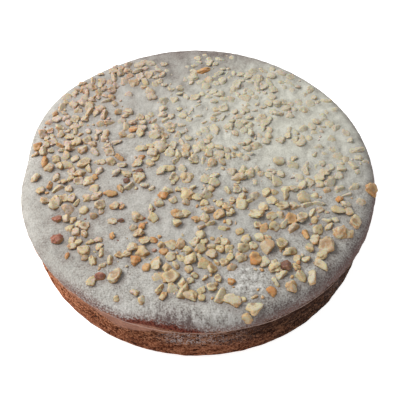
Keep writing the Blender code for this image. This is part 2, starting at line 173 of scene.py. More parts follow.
# The rim is bare, most at the front left: azimuths and how far from the axis nuts lie there
NUT_REACHES = ((-180, 0.114), (-165, 0.111), (-152, 0.098), (-125, 0.103), (-105, 0.103), (-88, 0.105))
NUT_REACHES += ((-74, 0.112), (-62, 0.104), (-45, 0.108), (-25, 0.112), (0, 0.114), (40, 0.111), (60, 0.109))
NUT_REACHES += ((100, 0.109), (120, 0.112), (150, 0.114), (168, 0.111), (180, 0.114))

# Pieces that catch the eye: (x, y, length, yaw, kind, look)
LANDMARK_NUTS = (
    (0.1134, -0.0218, 0.0112, 60, "cup", "orange"),
    (0.0205, -0.1044, 0.0122, 2, "flake", "golden"),
    (0.0128, -0.1015, 0.0115, 70, "wedge", "golden"),
    (0.0324, -0.1084, 0.0112, 118, "flake", "pale"),
    (0.0282, -0.1140, 0.0082, 12, "flake", "pale"),
    (0.0265, -0.1035, 0.0050, 140, "chip", "pale"),
    (0.0335, -0.1020, 0.0062, 30, "sliver", "pale"),
    (0.0026, -0.1024, 0.0068, 40, "chip", "golden"),
    (-0.0085, -0.0990, 0.0100, 62, "wedge", "golden"),
    (-0.0220, -0.0970, 0.0090, 60, "wedge", "golden"),
    (-0.0154, -0.0887, 0.0106, 95, "cup", "golden"),
    (-0.0862, -0.0618, 0.0092, 20, "dome", "skin"),
    (-0.0800, -0.0540, 0.0066, 40, "chip", "pale"),
    (-0.0768, -0.0674, 0.0072, 10, "chip", "golden"),
    (-0.0700, -0.0580, 0.0090, 112, "sliver", "golden"),
    (-0.0690, -0.0708, 0.0090, 130, "chip", "pale"),
    (-0.0630, -0.0776, 0.0098, 110, "wedge", "pale"),
    (-0.0585, -0.0722, 0.0080, 95, "wedge", "golden"),
    (-0.0570, -0.0812, 0.0048, 0, "chip", "pale"),
    (-0.0790, -0.0740, 0.0062, 70, "sliver", "orange"),
    (-0.0625, -0.0912, 0.0074, 60, "chip", "pale"),
    (-0.0577, -0.0890, 0.0072, 15, "chip", "skin"),
    (-0.0490, -0.0884, 0.0100, 50, "cup", "golden"),
    (-0.0470, -0.1027, 0.0056, 0, "chip", "pale"),
    (-0.0363, -0.0986, 0.0068, 30, "chip", "pale"),
    (-0.0318, -0.1040, 0.0066, 80, "chip", "pale"),
    (-0.0375, -0.0776, 0.0078, 10, "dome", "orange"),
    (-0.0305, -0.0822, 0.0068, 60, "chip", "orange"),
    (-0.0427, -0.0730, 0.0088, 20, "sliver", "pale"),
    (0.0200, -0.0918, 0.0054, 160, "dome", "orange"),
    (0.0435, -0.0986, 0.0074, 30, "dome", "orange"),
    (0.0552, -0.0952, 0.0088, 120, "dome", "golden"),
    (0.0530, -0.0816, 0.0096, 140, "dome", "skin"),
    (0.0612, -0.0885, 0.0086, 120, "wedge", "golden"),
    (0.0685, -0.0885, 0.0112, 78, "wedge", "pale"),
    (0.0745, -0.0800, 0.0106, 135, "wedge", "pale"),
    (-0.0823, -0.0400, 0.0102, 118, "flake", "pink"),
    (-0.0904, -0.0335, 0.0096, 120, "chip", "pale"),
    (-0.0885, -0.0462, 0.0078, 20, "chip", "skin"),
    (-0.0657, -0.0450, 0.0068, 0, "chip", "pink"),
    (-0.0486, -0.0486, 0.0062, 10, "wedge", "dark"),
    (-0.0560, -0.0276, 0.0092, 5, "wedge", "orange"),
    (-0.0345, -0.0530, 0.0064, 60, "dome", "orange"),
    (-0.0384, 0.0029, 0.0054, 0, "dome", "orange"),
    (-0.0862, 0.0120, 0.0094, 45, "cup", "golden"),
    (0.0034, 0.0887, 0.0130, 28, "sliver", "orange"),
    (0.1075, 0.0102, 0.0122, 15, "sliver", "golden"),
    (-0.0968, -0.0200, 0.0088, 80, "wedge", "orange"),
    (-0.0912, -0.0233, 0.0092, 40, "wedge", "golden"),
    (-0.0977, -0.0322, 0.0080, 20, "chip", "golden"),
    (-0.0864, -0.0306, 0.0086, 130, "cup", "golden"),
    (-0.0909, -0.0354, 0.0105, 10, "flake", "pale"),
    (-0.0940, 0.0147, 0.0092, 150, "wedge", "orange"),
    (-0.0887, 0.0156, 0.0074, 20, "chip", "golden"),
    (-0.1096, 0.0138, 0.0080, 60, "dome", "orange"),
    (-0.1029, 0.0004, 0.0112, 88, "sliver", "orange"),
    (-0.0778, 0.0102, 0.0084, 80, "dome", "golden"),
    (-0.0759, -0.0013, 0.0108, 25, "cup", "pale"),
    (-0.0529, 0.0031, 0.0086, 150, "wedge", "orange"),
    (-0.0579, -0.0013, 0.0080, 30, "chip", "pale"),
    (-0.0504, -0.0039, 0.0092, 165, "wedge", "pale"),
    (-0.0385, -0.0142, 0.0098, 60, "chip", "pale"),
    (-0.0468, -0.0167, 0.0056, 10, "chip", "dark"),
    (-0.0446, -0.0217, 0.0084, 50, "wedge", "pale"),
    (-0.0387, -0.0091, 0.0058, 0, "chip", "dark"),
    (-0.0190, -0.0056, 0.0100, 170, "wedge", "golden"),
    (-0.0076, -0.0142, 0.0098, 20, "dome", "pale"),
    (-0.0155, -0.0142, 0.0078, 60, "cup", "pale"),
    (-0.0068, -0.0282, 0.0108, 75, "dome", "pale"),
    (-0.0222, -0.0298, 0.0072, 0, "dome", "orange"),
    (-0.0157, -0.0330, 0.0070, 140, "chip", "golden"),
    (-0.0123, -0.0440, 0.0088, 90, "dome", "golden"),
    (-0.0128, -0.0502, 0.0090, 85, "chip", "pale"),
    (-0.0620, -0.0370, 0.0088, 10, "cup", "pale"),
    (-0.0719, -0.0401, 0.0076, 60, "chip", "pale"),
    (-0.0709, -0.0306, 0.0078, 85, "dome", "pale"),
    (-0.0723, -0.0175, 0.0098, 30, "flake", "pale"),
    (-0.0680, -0.0142, 0.0062, 60, "chip", "orange"),
    (-0.0294, -0.0401, 0.0086, 95, "sliver", "pale"),
    (-0.0450, 0.0286, 0.0078, 30, "chip", "orange"),
    (-0.0388, 0.0305, 0.0080, 100, "chip", "pink"),
    (-0.0262, 0.0277, 0.0084, 150, "chip", "pink"),
    (-0.0385, 0.0111, 0.0094, 170, "wedge", "golden"),
    (-0.0256, 0.0120, 0.0106, 60, "dome", "golden"),
    (0.0279, -0.0142, 0.0108, 10, "dome", "golden"),
    (0.0593, -0.0471, 0.0098, 100, "cup", "orange"),
    (0.0663, -0.0456, 0.0104, 50, "cup", "pale"),
    (0.0698, -0.0362, 0.0092, 20, "wedge", "golden"),
    (0.0691, -0.0298, 0.0104, 70, "flake", "pale"),
    (0.0890, -0.0401, 0.0100, 95, "flake", "golden"),
    (0.0914, -0.0314, 0.0062, 0, "dome", "orange"),
    (0.0992, -0.0486, 0.0102, 140, "cup", "golden"),
    (0.0887, -0.0577, 0.0094, 0, "dome", "golden"),
    (0.0753, -0.0554, 0.0088, 20, "chip", "golden"),
    (0.0676, -0.0584, 0.0088, 110, "wedge", "orange"),
    (0.0685, -0.0680, 0.0080, 95, "chip", "pale"),
    (0.0784, -0.0665, 0.0126, 20, "cup", "pink"),
    (0.0520, -0.0440, 0.0078, 0, "dome", "golden"),
    (0.0369, -0.0440, 0.0114, 160, "flake", "pale"),
    (0.0277, -0.0362, 0.0096, 80, "chip", "pale"),
    (0.0194, -0.0378, 0.0088, 0, "cup", "golden"),
    (0.0136, -0.0440, 0.0080, 20, "dome", "golden"),
    (0.0298, -0.0629, 0.0090, 95, "dome", "pale"),
    (0.0159, -0.0539, 0.0084, 165, "wedge", "pale"),
    (0.0419, -0.0547, 0.0078, 10, "chip", "orange"),
    (0.0417, -0.0694, 0.0106, 10, "flake", "pink"),
    (0.0561, -0.0715, 0.0088, 30, "dome", "pale"),
    (0.0353, -0.0758, 0.0100, 0, "cup", "orange"),
)

# Finer form of the nuts
EDGE_SHARPNESS = 9  # how crisply the chopped faces of a piece meet
COATED_SHARPNESS = 4  # and where the sugar coats it most
COAT_STARTS = (-0.075, -0.010)  # the stretch of x over which the sugar begins to coat the nuts
COAT_SWELL = 0.13  # how much wider a full coat makes a piece
COAT_SMOOTHING = (0.5, 0.6)  # how much of a piece's waves and of its bites a full coat fills
NUT_WAVES = ((0.034, 6.0, 5), (0.016, 15.0, 8))  # shares of the reach, waves in the length and how many
HOLLOW_DEPTH = 0.075  # of the length, in the middle of a cup
HOLLOW_SIZE = (0.62, 0.50)  # of the half length and half width
HOLLOW_SHIFT = 0.12  # how far off the middle it may lie, as a share of them
BITES = 4  # how many bites are broken out of a piece
BITE_WIDTH = (24, 46)  # in degrees about the piece's middle
BITE_DEPTH = (0.08, 0.28)  # of the reach
FINE_NUT = 0.0076  # a longer piece has the finer mesh
FINE_BALL = 4  # subdivisions of the ball that a piece is made from
COARSE_BALL = 3
CRUMB_BALL = 2

# Crumbs of nut
CRUMB_COUNT = 280
CRUMB_SEED = 7
CRUMB_SIZE = (0.0012, 0.0030)
CRUMB_WAVE = 0.16  # how far a crumb swells and sinks, as a share of its reach

# How toasted a piece's outside is, and how much of its flesh has browned, by its look
LOOKS = {"pale": (0.15, 0.10), "golden": (0.50, 0.35), "orange": (1.00, 0.92), "pink": (0.20, 0.20)}
LOOKS.update({"skin": (0.60, 0.50), "dark": (0.90, 0.90)})
LOOK_SHARES = (("orange", 0.05), ("pink", 0.13), ("golden", 0.50), ("pale", 1.0))  # each up to this share
SKINNED = {"skin": 1.0, "pink": 0.30, "dark": 1.0}  # how much of the thin red-brown skin is left on
SIFT_AND_KEY_SIDE = (-0.47, 0.32, 0.82)  # the side the icing sugar came from, close to the key light's side; nuts are bare on the other side and painted darker there as shade

# How the nuts shade the sugar beside them, and how it drifts against them. Shares of a nut's length.
SHADE_SHIFT = (0.17, -0.14)
SHADE_REACH = (0.64, 0.42)
DRIFT_REACH = (0.82, 0.40)

# Azimuths and what the sponge is like there, the values in between being interpolated
# Painted shade on the wall: darker to the right, away from the key light
WALL_SHADE_BY_AZIMUTH = ((-180, 0.0), (-150, 0.05), (-128, 0.20), (-112, 0.46), (-98, 0.69), (-84, 0.74), (-74, 0.92))
WALL_SHADE_BY_AZIMUTH += ((-60, 1.0), (-20, 1.0), (20, 0.8), (90, 0.5), (180, 0.0))
# Thin sugar near the edge, and painted shade where the rim at the right and the back curves away from the
# light
THINNESS_AND_SHADE = ((-180, 0.05), (-128, 0.0), (-114, -0.85), (-106, -0.10), (-98, 0.90), (-85, 0.50), (-75, 0.45))
THINNESS_AND_SHADE += ((-62, 0.85), (-30, 1.5), (0, 1.3), (35, 0.9), (70, 1.0), (110, 0.9), (150, 0.25), (180, 0.05))
# Stain of thin sugar over the crust at the rim, and painted shade where the rim at the right turns away from
# the light
RIM_STAIN_AND_SHADE = ((-180, 0.05), (-145, 0.25), (-132, 1.1), (-119, 1.8), (-108, 0.8), (-100, 0.45), (-85, 1.2))
RIM_STAIN_AND_SHADE += ((-70, 1.3), (-40, 1.1), (0, 0.9), (40, 0.3), (90, 0.1), (180, 0.2))
SHADE_UNDER_LIP = ((-180, 0.1), (-100, 0.1), (-90, 0.3), (-82, 0.35), (-72, 0.8), (-55, 1.0), (-20, 1.0))
SHADE_UNDER_LIP += ((60, 0.3), (180, 0.1))

# Bells that are added up: (height, centre, half width, power), the power 2 where none is given. The way
# over the lip runs along the surface, up and inwards, and below the lip it is less than 0.
SUGAR_EDGE = ((0.0068, -103, 11, 2.6), (0.0012, -90, 7), (-0.0020, -111, 4), (0.0013, -56, 26, 4))
THIN_AND_SHADE_REACH = 0.016  # how far in from its edge the sugar is thin, and darkened at the right and the back as painted shade
THIN_AND_SHADE_BULGES = ((0.012, 95, 35),)
STAIN_AND_SHADE_REACH = 0.0072  # how far in from its edge the sugar is stained, and darkened at the right as painted shade
STAIN_AND_SHADE_BULGES = ((0.0050, -126, 8), (0.0030, -40, 25))
UNDER_LIP = ((1.0, -0.0042, 0.0034), (0.45, -0.010, 0.006))
BAND_DROP = ((-0.0100, -113, 8),)
STRIP_DIP = ((-0.0022, -114, 7),)

# Zones: (strength, bell along the azimuths, bell across), across being the height or the way over an edge
FROST = ((1.0, (-92, 8, 4), (0.028, 0.0085, 4)), (0.45, (-80, 6), (0.026, 0.009)))
FROST += ((0.30, (-40, 6), (0.024, 0.010)),)
# A dark line along the lip at the front right: stain and painted shade
STAIN_AND_SHADE_LINE = ((0.85, (-62, 30, 4), (0.0012, 0.0017)),)
SUGAR_PITS = ((1.0, (-121, 9, 4), (0.0048, 0.0018, 4)), (0.6, (-100, 22, 4), (0.0012, 0.0018)))
WISPS = ((1.0, (-93, 17, 4), (0.008, 0.009, 4)),)
STRIP_BELL = (-101, 14, 4)
RED_BASE_BELL = (-100, 34, 4)
POROUS_BELL = (-116, 13, 4)

# Where the sugar lies brighter or duller than around, the duller patches at the right and the back of the
# rim being painted shade: (x, y, radius in metres, how much)
SUGAR_PATCHES = (
    (-0.078, -0.065, 0.030, -0.045),
    (-0.005, -0.072, 0.034, 0.030),
    (-0.013, -0.111, 0.015, -0.050),
    (0.018, -0.108, 0.011, 0.040),
    (-0.024, -0.036, 0.020, 0.022),
    (-0.036, -0.107, 0.014, 0.040),
    (0.045, -0.108, 0.020, -0.045),
    (0.091, -0.066, 0.022, -0.035),
    (-0.020, 0.094, 0.024, -0.080),
    (0.020, 0.094, 0.024, -0.080),
)
WARM_PATCH = (0.062, 0.042, 0.072, 3, 1.1)  # x, y, radius, power and how much shorter it is along y
SCUFF_PATCH = (0.030, -0.089, 0.012, 4)

# Colours of the sponge, in linear light. In a ramp each stands after the value at which it is reached.
# The crumb lit and in painted shade: the lit ramp at the left, the shaded ramp to the right
LIT_CRUMB = ((0.41, (0.030, 0.008, 0.004)), (0.48, (0.265, 0.076, 0.030)), (0.57, (0.600, 0.262, 0.138)))
SHADED_CRUMB = ((0.44, (0.011, 0.004, 0.002)), (0.50, (0.028, 0.011, 0.006)), (0.57, (0.122, 0.058, 0.032)))
RED_CRUMB = ((0.42, (0.028, 0.007, 0.003)), (0.48, (0.145, 0.040, 0.018)), (0.58, (0.320, 0.128, 0.066)))
# Painted highlight: brighter crumb just under the lip at the left, on the side that faces the key light
LIT_LIP_CRUMB = (0.400, 0.185, 0.115)
# The smooth crust band under the sugar at the front left: its own pinkish brown with a painted sheen
SMOOTH_CRUMB_AND_SHEEN = ((0.262, 0.130, 0.094), (0.330, 0.172, 0.126))
RED_STRIP = ((0.050, 0.012, 0.009), (0.165, 0.045, 0.030))
# Painted shade in the crumb's pits, pores and creases
PIT_SHADE = (0.018, 0.009, 0.006)
PORE_SHADE = (0.022, 0.009, 0.007)
# The lip's edge: pale partly from sugar dust on it, partly as a painted highlight where it catches the light
LIP_DUST_AND_HIGHLIGHT = (0.400, 0.275, 0.225)
CRUMB_SHADE = (0.034, 0.014, 0.009)
FROST_COLOUR = (0.365, 0.298, 0.282)

# Colours of the sugar
SUGAR = ((0.30, (0.125, 0.102, 0.096)), (0.40, (0.262, 0.247, 0.228)), (0.50, (0.370, 0.365, 0.338)))
SUGAR += ((0.60, (0.455, 0.447, 0.422)), (0.74, (0.600, 0.592, 0.570)))
# Sugar stained by the crust under it, and in painted shade at the right rim
SUGAR_STAIN_AND_SHADE = (0.170, 0.100, 0.088)
SUGAR_PIT = (0.075, 0.045, 0.045)
SUGAR_SHADE = (0.145, 0.106, 0.098)
# Tint of thin sugar and of painted shade at the rim
THIN_AND_SHADE_TINT = (0.90, 0.84, 0.87)
WARM_TINT = (1.32, 1.34, 1.27)

# Colours of the nuts, in pairs where noise or an attribute mixes two
FLESH = ((0.508, 0.470, 0.338), (0.500, 0.435, 0.252))
FLESH_MOTTLE = (0.340, 0.215, 0.120)
FLESH_BROWNED = (0.430, 0.250, 0.105)
SKIN = ((0.495, 0.400, 0.230), (0.350, 0.135, 0.032))
SKIN_MOTTLE = (0.530, 0.390, 0.240)
ROASTED = ((0.380, 0.165, 0.055), (0.590, 0.320, 0.125))
HUSK = ((0.175, 0.055, 0.040), (0.350, 0.145, 0.110))
DARK_HUSK = (0.110, 0.055, 0.048)
# Painted shade in a nut's hollows and bites
HOLLOW_SHADE = (0.250, 0.125, 0.055)
# Painted shade at the foot of a nut, most on the side away from the key light
NUT_FOOT_SHADE = (0.255, 0.132, 0.050)
# The bare side of a nut away from the key light: bare flesh and painted shade
NUT_BARE_IN_SHADE = (0.400, 0.222, 0.088)
POWDER = ((0.392, 0.357, 0.268), (0.480, 0.449, 0.358))
ROSY_POWDER = (0.520, 0.430, 0.400)
UMBER_TINT = (0.88, 0.815, 0.83)

# The view
CAMERA_ELEVATION = 53.32
CAMERA_DISTANCE = 0.480
CAMERA_AIM = (0.0016, 0.0, 0.0081)
CAMERA_LENS = 59.62
SENSOR_WIDTH = 36.0

# The studio
KEY_DIRECTION = (163, 50)  # azimuth and elevation
KEY_DISTANCE = 0.92
KEY_SIZE = 0.55
KEY_ENERGY = 9.9
KEY_COLOUR = (1.0, 0.985, 0.965)
SKY_STRENGTH = 0.50
FLOOR_REACH = 3.0
FLOOR_COLOUR = (0.80, 0.80, 0.80, 1.0)
FLOOR_GLOW = 0.78
WHITE = (1.0, 1.0, 1.0, 1.0)

Nut = namedtuple("Nut", "x y length yaw kind look")


# ---------------------------------------------------------------- the form, as the solid model has it


def angle_between(a, b):
    """The smaller angle between two azimuths, in degrees."""
    return abs((a - b + 180) % 360 - 180)


def rim_bulge(azimuth):
    """How far the rim stands out of its circle at this azimuth."""
    return sum(
        height * math.exp(-((angle_between(azimuth, centre) / width) ** 2))
        for centre, width, height in RIM_BULGES
    )


def top_height(x, y):
    """The height of the sponge's top at (x, y), within the shoulder."""
    share = math.hypot(x, y) / RIM_RADIUS
    swell = noise.noise(Vector((x, y, 0)) / TOP_SWELL_LENGTH)
    fade = max(0.0, 1 - share**4)
    return RIM_HEIGHT + CROWN * (1 - share**2) * fade + TOP_SWELL * swell * fade


def shoulder_height(radius):
    """How far the rounded shoulder has dropped below the top's edge at this radius."""
    out = radius - FLAT_RADIUS
    if out <= 0:
        return 0.0
    return SHOULDER_RADIUS - math.sqrt(max(0.0, SHOULDER_RADIUS**2 - min(out, SHOULDER_RADIUS) ** 2))


def surface_height(x, y):
    """The height of the sponge's top or shoulder at (x, y)."""
    bulge = rim_bulge(math.degrees(math.atan2(y, x)))
    return top_height(x, y) - shoulder_height(math.hypot(x, y) - bulge)


def surface_normal(x, y):
    """The outward normal of the sponge at (x, y), by differences."""
    step = 0.0005
    slope_x = (surface_height(x + step, y) - surface_height(x - step, y)) / (2 * step)
    slope_y = (surface_height(x, y + step) - surface_height(x, y - step)) / (2 * step)
    return Vector((-slope_x, -slope_y, 1)).normalized()


def nut_reach(azimuth):
    """How far from the axis nuts lie at this azimuth."""
    azimuths, reaches = zip(*NUT_REACHES)
    return float(np.interp(azimuth, azimuths, reaches)) + rim_bulge(azimuth)


def nut_density(x, y):
    """The chance, from 0 to 1, that a nut that falls at (x, y) stays there."""
    if math.hypot(x, y) > nut_reach(math.degrees(math.atan2(y, x))):
        return 0.0
    chance = 0.44 + 0.26 * noise.noise(Vector((x, y, 0.3)) / 0.011)
    chance += 0.18 * max(0.0, (-x - 0.3 * abs(y - 0.02)) / RIM_RADIUS)
    for patch_x, patch_y, patch_radius, times in PATCHES:
        chance *= times ** math.exp(-((math.hypot(x - patch_x, y - patch_y) / patch_radius) ** 4))
    return chance


def nut_spot(draw, placed, length):
    """A place to try for the next nut, often close beside another, so that they gather in clumps."""
    turn = draw.uniform(-math.pi, math.pi)
    if draw.random() < CLUMPING:
        other = draw.choice(placed)
        step = draw.uniform(NUT_SPACING, 1.0) * (length + other.length) / 2
        return other.x + step * math.cos(turn), other.y + step * math.sin(turn)
    reach = nut_reach(math.degrees(turn)) * math.sqrt(draw.random())
    return reach * math.cos(turn), reach * math.sin(turn)


def nut_places():
    """Every nut, the landmarks first and then the largest to the smallest."""
    draw = random.Random(NUT_SEED)
    placed = [Nut(*landmark) for landmark in LANDMARK_NUTS]
    kinds, shares = list(NUT_KINDS), [kind.share for kind in NUT_KINDS.values()]
    while len(placed) < NUT_COUNT:
        share = (len(placed) / NUT_COUNT) ** SIZE_FALL
        length = LARGEST_NUT + (SMALLEST_NUT - LARGEST_NUT) * share
        x, y = nut_spot(draw, placed, length)
        if draw.random() > nut_density(x, y):
            continue
        if all(
            math.hypot(x - other.x, y - other.y) > 0.98 * NUT_SPACING * (length + other.length) / 2
            for other in placed
        ):
            placed.append(Nut(x, y, length, draw.uniform(0, 360), draw.choices(kinds, shares)[0], None))
    return placed


def heavy_sugar(x, y):
    """How heavily the sugar lies at (x, y), from 0 to 1: most at the back right."""
    share = min(1.0, max(0.0, (0.45 * x + y + 0.045) / 0.13))
    return share * share * (3 - 2 * share)


def nut_form(index, nut):
    """A nut piece as (half sizes, cuts, tilts, sink): a lumpy ellipsoid with its sides chopped off.

    Each cut is (normal, distance from the centre) in the piece's own axes. All draws come from its index.
    """
    draw = random.Random(NUT_SEED * 1000 + index)
    kind = NUT_KINDS[nut.kind]
    sizes = Vector((0.5, kind.width * draw.uniform(0.86, 1.08), kind.thickness)) * nut.length
    slants = draw.uniform(-TOP_SLANT, TOP_SLANT), draw.uniform(-TOP_SLANT, TOP_SLANT)
    crown = Vector((*slants, 1)).normalized()
    cuts = [
        (crown, kind.above * draw.uniform(0.85, 1.25) * nut.length),
        (Vector((0, 0, -1)), kind.below * nut.length),
    ]
    start = draw.uniform(0, math.tau)
    for side in range(kind.sides):
        turn = start + (side + draw.uniform(-0.35, 0.35)) * math.tau / kind.sides
        normal = Vector((math.cos(turn), math.sin(turn), draw.uniform(-0.2, 0.8))).normalized()
        cuts.append((normal, (normal * sizes).length * draw.uniform(*SIDE_CUT)))
    if nut.kind == "wedge":
        for side in (-1, 1):
            slope = math.radians(draw.uniform(*RIDGE_SLOPE))
            normal = Vector((0, side * math.sin(slope), math.cos(slope)))
            cuts.append((normal, draw.uniform(*RIDGE_REACH) * nut.length))
    tilts = (draw.uniform(-kind.tilt, kind.tilt), draw.uniform(-kind.tilt, kind.tilt))
    return sizes, cuts, tilts, draw.uniform(*SINK) + DEEPER * heavy_sugar(nut.x, nut.y)


# ---------------------------------------------------------------- small helpers


def noise_at(points, length, shift=0.0):
    """Smooth noise, about -0.5 to 0.5, with features of this length, at each of the points."""
    return np.array([noise.noise(Vector(point)) for point in points / length + shift])


def by_azimuth(table, azimuths):
    """The table's value at each of the azimuths."""
    return np.interp(azimuths, *zip(*table))


def smoothstep(low, high, values):
    """The values taken from the range low to high into 0 to 1, with soft ends."""
    share = np.clip((values - low) / (high - low), 0, 1)
    return share * share * (3 - 2 * share)


def bell(values, centre, width, power=2):
    """1 at the centre and nearly 0 well past the half width, with steeper sides at a higher power."""
    return np.exp(-(np.abs((values - centre) / width) ** power))


def bells(values, table):
    """The sum of the table's bells, each a height and a bell."""
    return sum(height * bell(values, *shape) for height, *shape in table)


def zones(azimuth, across, table):
    """The sum of the table's zones, each a strength, a bell along the azimuths and a bell across."""
    return sum(strength * bell(azimuth, *along) * bell(across, *over) for strength, along, over in table)


def patch(points, x, y, radius, power=2, squash=1.0):
    """1 at (x, y) and nearly 0 well past the radius."""
    return bell(np.hypot(points[:, 0] - x, (points[:, 1] - y) * squash), 0, radius, power)


def add_piece(name, vertices, faces, attributes):
    """A smooth mesh object with a float attribute for each entry of attributes."""
    mesh = bpy.data.meshes.new(name)
    mesh.from_pydata(vertices.tolist(), [], [tuple(face) for face in faces])
    mesh.shade_smooth()
    for key, values in attributes.items():
        mesh.attributes.new(key, "FLOAT", "POINT").data.foreach_set("value", values.astype(np.float32))
    obj = bpy.data.objects.new(name, mesh)
    bpy.context.scene.collection.objects.link(obj)
    return obj


# ---------------------------------------------------------------- the sponge


def round_grid(cells):
    """A square grid bent into a unit disc: its points, its quads and its rim's points from azimuth -45."""
    line = np.linspace(-1, 1, cells + 1)
    a, b = np.meshgrid(line, line, indexing="ij")
    wide = np.abs(a) > np.abs(b)
    safe_a, safe_b = np.where(a == 0, 1, a), np.where(b == 0, 1, b)
    radius = np.where(wide, a, b)
    turn = np.where(wide, math.pi / 4 * b / safe_a, math.pi / 2 - math.pi / 4 * a / safe_b)
    points = np.stack([radius * np.cos(turn), radius * np.sin(turn)], -1).reshape(-1, 2)
    number = np.arange((cells + 1) ** 2).reshape(cells + 1, cells + 1)
    corners = [number[:-1, :-1], number[1:, :-1], number[1:, 1:], number[:-1, 1:]]
    rim = np.concatenate([number[-1, :-1], number[:0:-1, -1], number[0, :0:-1], number[:-1, 0]])
    return points, np.stack(corners, -1).reshape(-1, 4), rim


def side_profile():
    """The turned outline below the top's edge, as rows of radius, height and the normal's two shares."""
    rows = []
    for i in range(1, SHOULDER_ROWS + 1):
        turn = math.radians(90 * (1 - i / SHOULDER_ROWS))
        radius = FLAT_RADIUS + SHOULDER_RADIUS * math.cos(turn)
        rows.append((radius, LIP_HEIGHT + SHOULDER_RADIUS * math.sin(turn), math.cos(turn), math.sin(turn)))
    for i in range(1, LIP_ROWS + 1):
        share = i / LIP_ROWS
        step = share * share * (3 - 2 * share)
        rows.append((RIM_RADIUS - LIP_OVERHANG * step, LIP_HEIGHT - LIP_DROP * share, 1.0, 0.0))
    top, bottom = LIP_HEIGHT - LIP_DROP, BASE_EDGE_RADIUS
    for i in range(1, WALL_ROWS + 1):
        share = i / WALL_ROWS
        radius = RIM_RADIUS - LIP_OVERHANG + (BASE_RADIUS - RIM_RADIUS + LIP_OVERHANG) * share
        rows.append((radius, top + (bottom - top) * share, 1.0, 0.0))
    for i in range(1, EDGE_ROWS + 1):
        turn = math.radians(90 * i / EDGE_ROWS)
        radius = BASE_RADIUS - BASE_EDGE_RADIUS * (1 - math.cos(turn))
        rows.append((radius, BASE_EDGE_RADIUS * (1 - math.sin(turn)), math.cos(turn), -math.sin(turn)))
    return rows


def sponge_top():
    """The top up to the shoulder: its points, quads, rim and how far each point lies over the lip."""
    grid, quads, rim = round_grid(TOP_CELLS)
    azimuths = np.degrees(np.arctan2(grid[:, 1], grid[:, 0]))
    bulges = np.array([rim_bulge(azimuth) for azimuth in azimuths])
    flat = grid * (FLAT_RADIUS + bulges)[:, None]
    reach = np.hypot(*flat.T) - bulges
    over = SHOULDER_RADIUS * math.pi / 2 + FLAT_RADIUS - reach
    return np.column_stack([flat, [top_height(x, y) for x, y in flat]]), quads, rim, over


def over_lip(height, upward):
    """How far over the lip a row of the side lies, from its height and how far its normal points up."""
    if height >= LIP_HEIGHT:
        return SHOULDER_RADIUS * math.asin(min(1.0, max(0.0, upward)))
    return height - LIP_HEIGHT


def sponge_points():
    """The sponge before its fine relief: points, normals, faces and how far each point lies over the lip."""
    top, quads, last, top_over = sponge_top()
    around = len(last)
    turns = np.radians(-45 + 360 * np.arange(around) / around)
    unit = np.column_stack([np.cos(turns), np.sin(turns)])
    bulges = np.array([rim_bulge(math.degrees(turn)) for turn in turns])
    points, over, faces = [top], [top_over], [quads]
    normals = [np.tile((0.0, 0.0, 1.0), (len(top), 1))]
    first = len(top)
    for radius, height, outward, upward in side_profile():
        spread = radius + bulges * min(1.0, height / LIP_HEIGHT)
        points.append(np.column_stack([unit * spread[:, None], np.full(around, height)]))
        normals.append(np.column_stack([unit * outward, np.full(around, upward)]))
        over.append(np.full(around, over_lip(height, upward)))
        row = first + np.arange(around)
        faces.append(np.column_stack([last, row, np.roll(row, -1), np.roll(last, -1)]))
        last, first = row, first + around
    points.append(np.zeros((1, 3)))
    normals.append(np.array([[0.0, 0.0, -1.0]]))
    over.append(np.array([-LIP_HEIGHT]))
    faces = [tuple(face) for block in faces for face in block]
    faces += [(last[i], first, last[(i + 1) % around]) for i in range(around)]
    return np.concatenate(points), np.concatenate(normals), faces, np.concatenate(over)


def pores(points):
    """How deep each point lies in a pore, from 0 to 1."""
    depth = np.zeros(len(points))
    for i, point in enumerate(points / PORE_PITCH):
        distance = noise.voronoi(Vector(point * (1, 1, 1.3)))[0][0]
        depth[i] = max(0.0, 1 - distance / PORE_REACH)
    return depth**0.7


def edge_looks(points, azimuth, over, past):
    """The attributes at the sugar's edge, past being how far each point lies in from it."""
    looks = {"past_edge": past + 0.0012 * noise_at(points, 0.008) + 0.0012 * noise_at(points, 0.0035, 5.0)}
    thin_reach = THIN_AND_SHADE_REACH + bells(azimuth, THIN_AND_SHADE_BULGES)
    looks["thin"] = by_azimuth(THINNESS_AND_SHADE, azimuth) * smoothstep(thin_reach, 0.0, past)
    stain_and_shade_reach = STAIN_AND_SHADE_REACH + bells(azimuth, STAIN_AND_SHADE_BULGES)
    stain_and_shade = by_azimuth(RIM_STAIN_AND_SHADE, azimuth) * smoothstep(stain_and_shade_reach, 0.0004, past)
    looks["stain_and_shade"] = np.maximum(stain_and_shade, zones(azimuth, past, STAIN_AND_SHADE_LINE))
    looks["pits"] = zones(azimuth, past, SUGAR_PITS)
    looks["wisps"] = zones(azimuth, over, WISPS)
    strip = smoothstep(-0.0046, -0.0022, past) * smoothstep(0.0034, 0.0002, past)
    strip_end = 0.0002 + bells(azimuth, STRIP_DIP)
    looks["strip"] = strip * bell(azimuth, *STRIP_BELL) * smoothstep(strip_end, strip_end + 0.0012, over)
    drop = -0.0040 + bells(azimuth, BAND_DROP)
    band = smoothstep(drop - 0.0035, drop + 0.0020, over) * smoothstep(0.001, -0.001, past)
    looks["band"] = band * smoothstep(-128, -118, azimuth) * smoothstep(-94, -107, azimuth)
    return looks


